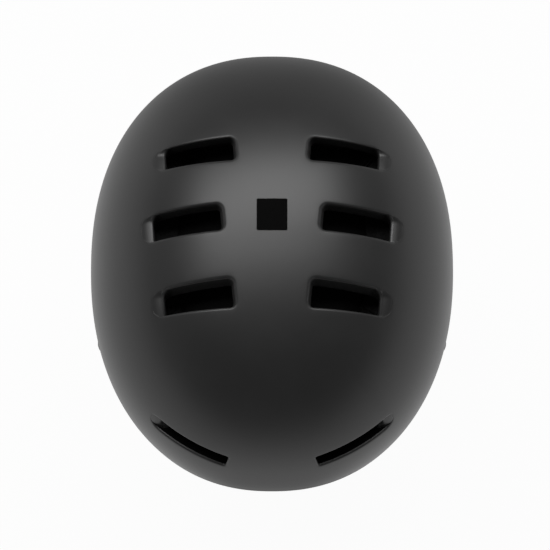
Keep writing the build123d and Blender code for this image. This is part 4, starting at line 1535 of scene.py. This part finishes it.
def foam_finish():
    """Black moulded bead foam: beads pressed flat, with fine seams between them, and painted shade that makes
    faces turned away from the head near black.
    """
    finish = Finish("liner_bead_foam")
    wander = finish.add("ShaderNodeTexNoise", inputs={"Vector": finish.place, "Scale": 220.0}, output=1)
    place = finish.add("ShaderNodeMix", {"data_type": "VECTOR"}, {0: 0.002, 4: finish.place, 5: wander}, 1)
    cells = {"Vector": place, "Scale": 310.0}
    edge = finish.add("ShaderNodeTexVoronoi", {"feature": "DISTANCE_TO_EDGE"}, cells)
    bead = finish.add("ShaderNodeTexVoronoi", inputs=cells, output=1)
    tone = finish.add("ShaderNodeSeparateColor", inputs={0: bead})
    seam = finish.ease(edge, 0.0, 0.13)
    skin = finish.noise(2600, 2.0)
    colour = finish.mix(seam, grey(0.002), finish.mix(tone, grey(0.004), grey(0.006)))
    inside = finish.mix(seam, grey(0.014), finish.mix(tone, grey(0.03), grey(0.042)))
    # Painted shade: faces turned away from the head take the far darker colour, faces towards the head the
    # lighter one
    colour = finish.mix(finish.to_head(), colour, inside)
    normal = finish.bump(seam + tone * 0.25, 0.12 * MM, 0.6)
    normal = finish.bump(skin, 0.02 * MM, 0.5, normal)
    rough = 0.6 + tone * 0.14 + skin * 0.08
    return finish.close(Base_Color=colour, Roughness=rough, Normal=normal, Specular_IOR_Level=0.15)


def cloth_finish(name, painted_back_shade):
    """Black brushed cloth: knit courses under a short nap, a little lint, and painted shade that makes a
    pad's back near black.
    """
    finish = Finish(name)
    knit = {"Vector": finish.place, "Scale": 1150.0}
    courses = finish.add("ShaderNodeTexVoronoi", {"feature": "SMOOTH_F1"}, knit)
    nap = finish.noise(2400, 4.0, 0.7)
    worn = finish.noise(38, 4.0, 0.6)
    lint = finish.ease(finish.noise(700, 1.0), 0.76, 0.82)
    colour = finish.mix(finish.ease(worn, 0.35, 0.7), grey(0.03), grey(0.042))
    colour = finish.mix(lint * 0.4, colour, grey(0.1))
    # Painted shade: a pad's faces turned away from the head, seen through the vents, are coloured near black
    if painted_back_shade:
        colour = finish.mix(finish.to_head(), grey(0.004), colour)
    normal = finish.bump(courses, 0.16 * MM, 0.55)
    normal = finish.bump(nap, 0.1 * MM, 0.6, normal)
    rough = 0.86 + nap * 0.1
    return finish.close(
        Base_Color=colour, Roughness=rough, Normal=normal, Specular_IOR_Level=0.12,
        Sheen_Weight=0.1, Sheen_Roughness=0.4, Sheen_Tint=grey(0.3))


def webbing_finish():
    """Black polyester webbing: herringbone ribs, yarn grain and a firm woven edge."""
    finish = Finish("webbing_weave")
    weave = finish.add("ShaderNodeAttribute", {"attribute_name": "weave"}, output=1)
    across, along = finish.add("ShaderNodeSeparateXYZ", inputs={0: weave}, output=(0, 1))
    column = WEB_WIDTH / 4
    fold = finish.maths("PINGPONG", across + WEB_WIDTH, column)
    rib = finish.maths("SINE", (along + fold * 0.9) * (2 * math.pi / (1.35 * MM)))
    rib = finish.ease(rib, -0.9, 0.9)
    pick = finish.maths("SINE", along * (2 * math.pi / (0.5 * MM))) * 0.5 + 0.5
    yarn = finish.noise(2600, 3.0, 0.6, weave)
    fade = finish.noise(60, 3.0, 0.5, weave)
    colour = finish.mix(rib, grey(0.006), grey(0.021))
    colour = finish.mix(finish.ease(fade, 0.4, 0.75) * 0.35, colour, grey(0.032))
    normal = finish.bump(rib + pick * 0.25, 0.22 * MM, 0.85)
    normal = finish.bump(yarn, 0.06 * MM, 0.5, normal)
    rough = 0.62 + yarn * 0.2
    return finish.close(
        Base_Color=colour, Roughness=rough, Normal=normal, Specular_IOR_Level=0.35,
        Sheen_Weight=0.12, Sheen_Roughness=0.35, Sheen_Tint=grey(0.5))


def thread_finish():
    """Black bonded thread."""
    finish = Finish("thread_black")
    twist = finish.noise(3200, 2.0)
    normal = finish.bump(twist, 0.05 * MM, 0.6)
    rough = 0.45 + twist * 0.15
    return finish.close(Base_Color=grey(0.035), Roughness=rough, Normal=normal)


def rivet_finish():
    """Blackened steel rivet heads with small scuffs."""
    finish = Finish("rivet_black_steel")
    scuff = finish.ease(finish.noise(900, 4.0, 0.7), 0.58, 0.7)
    colour = finish.mix(scuff * 0.5, grey(0.07), grey(0.2))
    rough = 0.34 + scuff * 0.2
    normal = finish.bump(finish.noise(700, 3.0), 0.02 * MM, 0.5)
    return finish.close(Base_Color=colour, Roughness=rough, Metallic=1.0, Normal=normal)


def moulded_finish(name, level, roughness, grain_scale, grain_depth):
    """Fine-grained moulded plastic or rubber, a little polished where it is handled."""
    finish = Finish(name)
    grain = finish.noise(grain_scale, 3.0, 0.6)
    handled = finish.noise(70, 4.0)
    colour = finish.mix(handled, grey(level * 0.85), grey(level * 1.2))
    rough = roughness + (handled - 0.5) * 0.12 + (grain - 0.5) * 0.1
    normal = finish.bump(grain, grain_depth, 0.6)
    return finish.close(Base_Color=colour, Roughness=rough, Normal=normal)


def hook_finish():
    """Hook tape: rows of tiny hooks."""
    finish = Finish("hook_tape")
    hooks = finish.add("ShaderNodeTexVoronoi", inputs={"Vector": finish.place, "Scale": 1400.0})
    colour = finish.mix(finish.ease(hooks, 0.1, 0.6), grey(0.05), grey(0.012))
    normal = finish.bump(1.0 - hooks, 0.4 * MM, 0.9)
    return finish.close(Base_Color=colour, Roughness=0.6, Normal=normal)


class ShellSettings(bpy.types.PropertyGroup):
    """Sizes and colour of the moulded shell."""

    lip_radius: bpy.props.FloatProperty(
        name="Lip radius", description="Rounding of the vents' lips", default=1.8 * MM, unit="LENGTH")
    rim_radius: bpy.props.FloatProperty(
        name="Rim radius", description="Rounding of the shell's lower edge", default=1.1 * MM, unit="LENGTH")
    skin_spacing: bpy.props.FloatProperty(
        name="Skin spacing", description="Distance between the outer skin's points",
        default=2.6 * MM, unit="LENGTH")
    shell_grey: bpy.props.FloatProperty(
        name="Shell grey", description="Lightness of the black plastic", default=0.013, subtype="FACTOR")
    shell_roughness: bpy.props.FloatProperty(
        name="Shell roughness", description="How matt the plastic is", default=0.42, subtype="FACTOR")


class LinerSettings(bpy.types.PropertyGroup):
    """The bead foam liner."""

    liner_round: bpy.props.FloatProperty(
        name="Edge rounding", description="Rounding of the liner's inner lower edge",
        default=4.0 * MM, unit="LENGTH")
    liner_spacing: bpy.props.FloatProperty(
        name="Spacing", description="Distance between the inside's points", default=3.2 * MM, unit="LENGTH")


class PadSettings(bpy.types.PropertyGroup):
    """The sewn comfort pads."""

    pad_spacing: bpy.props.FloatProperty(
        name="Spacing", description="Distance between the cloth's points", default=2.3 * MM, unit="LENGTH")
    pad_border: bpy.props.FloatProperty(
        name="Border", description="Width of the welded border", default=3.6 * MM, unit="LENGTH")
    pad_pressure: bpy.props.FloatProperty(
        name="Pressure", description="Pressure that inflates the cloth", default=4.0)
    pad_cap: bpy.props.FloatProperty(
        name="Movement", description="How far the cloth may move", default=1.2 * MM, unit="LENGTH")
    stitch_pitch: bpy.props.FloatProperty(
        name="Stitch pitch", description="Distance from stitch to stitch", default=2.6 * MM, unit="LENGTH")


class StrapSettings(bpy.types.PropertyGroup):
    """The webbing."""

    bend_above: bpy.props.FloatProperty(
        name="Bend starts", description="Height over the hinge line where the webbing starts to bend",
        default=0.5 * MM, unit="LENGTH")
    bend_below: bpy.props.FloatProperty(
        name="Bend ends", description="Depth under the hinge line where the bend ends",
        default=7.0 * MM, unit="LENGTH")


class HardwareSettings(bpy.types.PropertyGroup):
    """Rivets, dividers, levers, buckle and keeper."""

    divider_bevel: bpy.props.FloatProperty(
        name="Divider edges", description="Rounding of the dividers' edges", default=0.45 * MM, unit="LENGTH")
    buckle_bevel: bpy.props.FloatProperty(
        name="Buckle edges", description="Rounding of the buckle's edges", default=0.35 * MM, unit="LENGTH")
    plate_bevel: bpy.props.FloatProperty(
        name="Plate edges", description="Rounding of the crown plate's edges",
        default=0.12 * MM, unit="LENGTH")


class StageSettings(bpy.types.PropertyGroup):
    """Camera, floor, room light and lamp."""

    camera_distance: bpy.props.FloatProperty(
        name="Camera distance", description="From the helmet's middle", default=1.5, unit="LENGTH")
    camera_tilt: bpy.props.FloatProperty(
        name="Camera tilt", description="From straight down towards the front", default=math.radians(10),
        subtype="ANGLE")
    focal_length: bpy.props.FloatProperty(
        name="Focal length", description="In millimetres, on a sensor of 36", default=153.2)
    ambient: bpy.props.FloatProperty(
        name="Room light", description="Strength of the light from all round", default=0.14)
    floor_white: bpy.props.FloatProperty(
        name="Floor white", description="How far the floor shows as plain white",
        default=0.96, subtype="FACTOR")
    floor_dimming: bpy.props.FloatProperty(
        name="Floor dimming", description="How far the shell's back sees a darker floor",
        default=0.5, subtype="FACTOR")
    lamp_place: bpy.props.FloatVectorProperty(
        name="Lamp place", description="Middle of the soft lamp over the helmet", default=(-0.1, 0.62, 1.47),
        unit="LENGTH")
    lamp_sides: bpy.props.FloatVectorProperty(
        name="Lamp sides", description="Sides of the soft lamp", default=(1.8, 0.75), size=2, unit="LENGTH")
    lamp_power: bpy.props.FloatProperty(
        name="Lamp power", description="Power of the soft lamp in watts", default=26.0)


class HELMET_OT_shell(bpy.types.Operator):
    """Makes the moulded shell with its vents and rim"""

    bl_idname = "helmet.shell"
    bl_label = "Shell"

    def execute(self, context):
        settings = context.scene.helmet_shell
        mesh = shell_mesh(settings, all_vents())
        piece = finished("helmet_shell", mesh, "root", shell_finish(settings))
        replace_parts(piece, "outer_shell")
        # Painted shade: the side slots' walls, whose points all carry the mark 1, take the flat black
        # material
        mesh.materials.append(flat_black("slot_wall_painted_shade"))
        marks = [point.value for point in mesh.attributes["shade"].data]
        for face in mesh.polygons:
            face.material_index = int(min(marks[i] for i in face.vertices) > 0.5)
        return {"FINISHED"}


class HELMET_OT_plate(bpy.types.Operator):
    """Makes the plain square plate on the crown"""

    bl_idname = "helmet.plate"
    bl_label = "Crown plate"

    def execute(self, context):
        settings = context.scene.helmet_hardware
        moulded("crown_plate", settings.plate_bevel, flat_black("crown_plate_black"))
        return {"FINISHED"}


class HELMET_OT_liner(bpy.types.Operator):
    """Makes the bead foam liner and finishes what is fixed to it"""

    bl_idname = "helmet.liner"
    bl_label = "Liner"

    def execute(self, context):
        mesh = liner_mesh(context.scene.helmet_liner, all_vents())
        piece = finished("helmet_liner", mesh, "root", foam_finish())
        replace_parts(piece, "foam_liner")
        coat(frame["nodes"]["pad_hook_patches"].data, hook_finish())
        coat(frame["nodes"]["rivet_washers"].data, rivet_finish())
        return {"FINISHED"}


class HELMET_OT_pads(bpy.types.Operator):
    """Makes the five comfort pads and their stitches"""

    bl_idname = "helmet.pads"
    bl_label = "Pads"

    def execute(self, context):
        settings = context.scene.helmet_pads
        cloth = cloth_finish("pad_brushed_cloth", True)
        paths = []
        for name, place in pad_places().items():
            piece = finished(f"{name}_cushion", pad_mesh(name, place, settings), "root", cloth)
            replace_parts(piece, name)
            outline = place.outline(settings.pad_border * STITCH_INWARD, settings.pad_spacing)
            paths.append((place, np.concatenate([outline, outline[:1]]), PAD_EDGE))
            reach = place.half[1] - settings.pad_border
            run = np.arange(-reach, reach, settings.pad_spacing)
            paths += [(place, place.seam_line(seam, run), PAD_SEAM) for seam in place.seams]
        lines = [place.strike(line) + place.normals(line) * thick for place, line, thick in paths]
        sew("pad_stitches", lines, "root", settings.stitch_pitch)
        return {"FINISHED"}


def sew(name, lines, body, pitch):
    """Stitches along lines, as one piece."""
    thread = made_once("thread_black", thread_finish)
    mesh = stitch_tree().run(name, path_mesh(name, lines), {
        "Pitch": pitch, "Stitch Length": pitch * STITCH_SHARE, "Material": thread})
    mesh.shade_smooth()
    finished(name, mesh, body, thread)


class HELMET_OT_straps(bpy.types.Operator):
    """Makes the front and rear straps, from their rivets inside the shell down into the dividers"""

    bl_idname = "helmet.straps"
    bl_label = "Straps"

    def execute(self, context):
        settings = context.scene.helmet_straps
        weave = made_once("webbing_weave", webbing_finish)
        for side, side_name in ((1, "left"), (-1, "right")):
            harness = Harness(side)
            for name in ("front", "rear"):
                track, facing = strap_line(Anchor(name), harness, name == "rear")
                mesh = webbing_mesh(f"{name}_strap_{side_name}_web", track, facing, side)
                piece = finished(mesh.name, mesh, None, weave)
                harness.at(0, settings.bend_above)
                harness.at(0, -settings.bend_below)
                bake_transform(piece)
                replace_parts(piece, f"{name}_strap_anchor_{side_name}", f"{name}_strap_{side_name}")
        return {"FINISHED"}


def chin_stitch_lines(harness):
    """A crossed box of stitches on both faces of the doubled webbing."""
    half, first, last = 0.36 * WEB_WIDTH, DOUBLE_LOW + 3 * MM, DOUBLE_LOW + DOUBLE_LENGTH - 2.5 * MM
    box = [(-half, first), (half, first), (half, last), (-half, last), (-half, first), (half, last)]
    lines = []
    for w in (WEB_THICKNESS * 1.5, -WEB_THICKNESS / 2):
        for loop in (box, [(half, first), (-half, last)]):
            loop = resampled(np.array(loop), 0.8 * MM)
            lines.append(harness.at(DIVIDER_BACK + loop[:, 0], loop[:, 1], w))
    return lines


class HELMET_OT_chin(bpy.types.Operator):
    """Makes the chin webbing, sewn back round the buckle's bars, and the chin pad"""

    bl_idname = "helmet.chin"
    bl_label = "Chin straps"

    def execute(self, context):
        weave = made_once("webbing_weave", webbing_finish)
        for side, name in ((1, "left"), (-1, "right")):
            harness = Harness(side)
            track, facing = chin_line(harness)
            mesh = webbing_mesh(f"chin_strap_{name}_web", track, facing, side)
            piece = finished(mesh.name, mesh, None, weave)
            harness.at(0, CHIN_TOP + CHIN_BEND)
            harness.at(0, CHIN_TOP - CHIN_BEND)
            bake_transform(piece)
            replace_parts(piece, f"chin_strap_{name}")
            lines = chin_stitch_lines(harness)
            sew(f"chin_stitches_{name}", lines, f"{name}_chin", CHIN_STITCH_PITCH)
        mesh = chin_pad_mesh(Harness(-1), context.scene.helmet_pads)
        piece = finished("chin_pad_cushion", mesh, "chin_cushion",
                         cloth_finish("chin_pad_cloth", False))
        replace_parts(piece, "chin_pad")
        return {"FINISHED"}


class HELMET_OT_hardware(bpy.types.Operator):
    """Makes the rivet heads, dividers, levers, buckle halves and keeper"""

    bl_idname = "helmet.hardware"
    bl_label = "Hardware"

    def execute(self, context):
        settings = context.scene.helmet_hardware
        heads = []
        for name in ANCHORS:
            anchor = Anchor(name)
            heads += [(anchor.origin, anchor.z), (anchor.origin * (-1, 1, 1), anchor.z * (-1, 1, 1))]
        mesh = bpy.data.meshes.new("rivet_places")
        mesh.from_pydata([tuple(place) for place, _ in heads], [], [])
        facing = mesh.attributes.new("facing", "FLOAT_VECTOR", "POINT")
        facing.data.foreach_set("vector", np.concatenate([way for _, way in heads]))
        steel = rivet_finish()
        mesh = rivet_tree().run("rivet_heads", mesh, {
            "Head Radius": RIVET_RADIUS, "Head Height": RIVET_HEIGHT, "Material": steel})
        mesh.shade_smooth()
        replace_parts(finished("rivet_heads", mesh, "root", steel), "strap_rivets")
        plastic = moulded_finish("buckle_acetal", 0.016, 0.4, 1300, 0.02 * MM)
        for side in ("left", "right"):
            moulded(f"strap_divider_{side}", settings.divider_bevel, plastic)
            moulded(f"divider_lever_{side}", settings.divider_bevel, plastic)
        for node in ("buckle_socket", "buckle_plug", "buckle_prong_front", "buckle_prong_rear"):
            moulded(node, settings.buckle_bevel, plastic)
        rubber = moulded_finish("keeper_rubber", 0.014, 0.7, 900, 0.05 * MM)
        moulded("strap_keeper", settings.buckle_bevel, rubber)
        return {"FINISHED"}


class HELMET_OT_stage(bpy.types.Operator):
    """Sets the floor, the room, the lamp and the camera"""

    bl_idname = "helmet.stage"
    bl_label = "Stage"

    def execute(self, context):
        settings = context.scene.helmet_stage
        depth = cad_box[0][2] - FLOOR_DROP
        corners = [(x * FLOOR_HALF, y * FLOOR_HALF, depth) for x, y in ((-1, -1), (1, -1), (1, 1), (-1, 1))]
        floor = linked("floor", plain_mesh("floor", corners, [(0, 1, 2, 3)]))
        coat(floor.data, floor_finish(settings))
        context.scene.world = studio_world(settings)
        add_lamp("overhead", settings.lamp_place, LAMP_AIM, settings.lamp_sides, settings.lamp_power)
        context.scene.camera = add_camera(settings)
        context.scene.view_settings.view_transform = "Standard"
        return {"FINISHED"}


def floor_finish(settings):
    """White paper that the camera sees as plain white, clear from below."""
    finish = Finish("floor_white")
    seen, glossy, through = finish.rays()
    paper = finish.add("ShaderNodeBsdfDiffuse", inputs={"Color": grey(0.8)})
    glow = finish.add("ShaderNodeEmission", inputs={"Color": grey(1.0), "Strength": 1.0})
    clear = finish.add("ShaderNodeBsdfTransparent")
    plain = finish.maths("MINIMUM", seen + glossy + through, 1.0) * settings.floor_white
    shader = finish.blend(plain, paper, glow)

    # Painted shade: the gloss of the shell's back, and of its front edge, sees the floor painted dark, dimmer
    # than its sides see it
    x, y = finish.add("ShaderNodeSeparateXYZ", inputs={0: finish.place}, output=(0, 1))
    share = y / (finish.maths("ABSOLUTE", x) + finish.maths("ABSOLUTE", y) + MM)
    behind = finish.ease(share, 0.3, 0.75, 0.0, settings.floor_dimming)
    ahead = finish.ease(-share, 0.5, 0.85) * finish.ease(-y, 0.2, 0.55, 0.6, 0.0)
    dark = finish.add("ShaderNodeEmission", inputs={"Color": grey(0.0), "Strength": 0.0})
    shader = finish.blend(glossy * (behind + ahead), shader, dark)
    below = finish.add("ShaderNodeNewGeometry", output="Backfacing")
    finish.end("ShaderNodeOutputMaterial", finish.blend(below, shader, clear))
    return finish.material


def studio_world(settings):
    """Dim room light with a white backdrop that the camera sees, and reflections see near the horizon."""
    world = bpy.data.worlds.new("studio")
    sky = Nodes(world)
    seen, glossy, through = sky.rays()
    place = sky.add("ShaderNodeTexCoord", output="Generated")
    x, height = sky.add("ShaderNodeSeparateXYZ", inputs={0: place}, output=(0, 2))
    low = sky.ease(height, 0.05, 0.35, 1.0, 0.0) * sky.ease(sky.maths("ABSOLUTE", x), 0.1, 0.9, 0.4, 1.0)
    white = sky.maths("MINIMUM", seen + (glossy + through) * low, 1.0)
    strength = white * (1 - settings.ambient) + settings.ambient
    background = sky.add("ShaderNodeBackground", inputs={"Color": grey(1.0), "Strength": strength})
    sky.end("ShaderNodeOutputWorld", background)
    return world


def add_lamp(name, place, target, sides, power):
    """A soft oblong lamp aimed at a point."""
    lamp = bpy.data.lights.new(name, "AREA")
    lamp.shape = "RECTANGLE"
    lamp.size, lamp.size_y = sides
    lamp.energy = power
    holder = linked(name, lamp)
    holder.location = place
    holder.rotation_euler = (Vector(target) - Vector(place)).to_track_quat("-Z", "Y").to_euler()


def add_camera(settings):
    """A long lens over the crown, tilted a little to the front."""
    camera = bpy.data.cameras.new("camera")
    camera.lens = settings.focal_length
    camera.shift_x, camera.shift_y = (shift / PICTURE_SIDE for shift in PICTURE_SHIFT)
    holder = linked("camera", camera)
    tilt = settings.camera_tilt
    away = Vector((0, -math.sin(tilt), math.cos(tilt)))
    holder.location = Vector((0, 0, BULGE_HEIGHT)) + settings.camera_distance * away
    holder.rotation_euler = (tilt, 0, 0)
    return holder


class HELMET_PT_panel(bpy.types.Panel):
    """Lists the helmet's pieces"""

    bl_label = "Helmet"
    bl_idname = "HELMET_PT_panel"
    bl_space_type = "VIEW_3D"
    bl_region_type = "UI"
    bl_category = "Helmet"

    def draw(self, context):
        for operator in OPERATORS:
            self.layout.operator(operator.bl_idname)
        for name in SETTINGS:
            group = getattr(context.scene, name)
            for item in group.bl_rna.properties:
                if item.identifier not in ("rna_type", "name"):
                    self.layout.prop(group, item.identifier)


OPERATORS = (HELMET_OT_shell, HELMET_OT_plate, HELMET_OT_liner, HELMET_OT_pads, HELMET_OT_straps,
             HELMET_OT_chin, HELMET_OT_hardware, HELMET_OT_stage)
SETTINGS = {
    "helmet_shell": ShellSettings,
    "helmet_liner": LinerSettings,
    "helmet_pads": PadSettings,
    "helmet_straps": StrapSettings,
    "helmet_hardware": HardwareSettings,
    "helmet_stage": StageSettings,
}


def register():
    for group in (*SETTINGS.values(), *OPERATORS, HELMET_PT_panel):
        bpy.utils.register_class(group)
    for name, group in SETTINGS.items():
        setattr(bpy.types.Scene, name, bpy.props.PointerProperty(type=group))


def unregister():
    for name in SETTINGS:
        delattr(bpy.types.Scene, name)
    for group in (HELMET_PT_panel, *reversed(OPERATORS), *SETTINGS.values()):
        bpy.utils.unregister_class(group)


def main():
    register()
    bpy.ops.helmet.shell()
    bpy.ops.helmet.plate()
    bpy.ops.helmet.liner()
    bpy.ops.helmet.pads()
    bpy.ops.helmet.straps()
    bpy.ops.helmet.chin()
    bpy.ops.helmet.hardware()
    bpy.ops.helmet.stage()


if __name__ == "__main__":
    main()
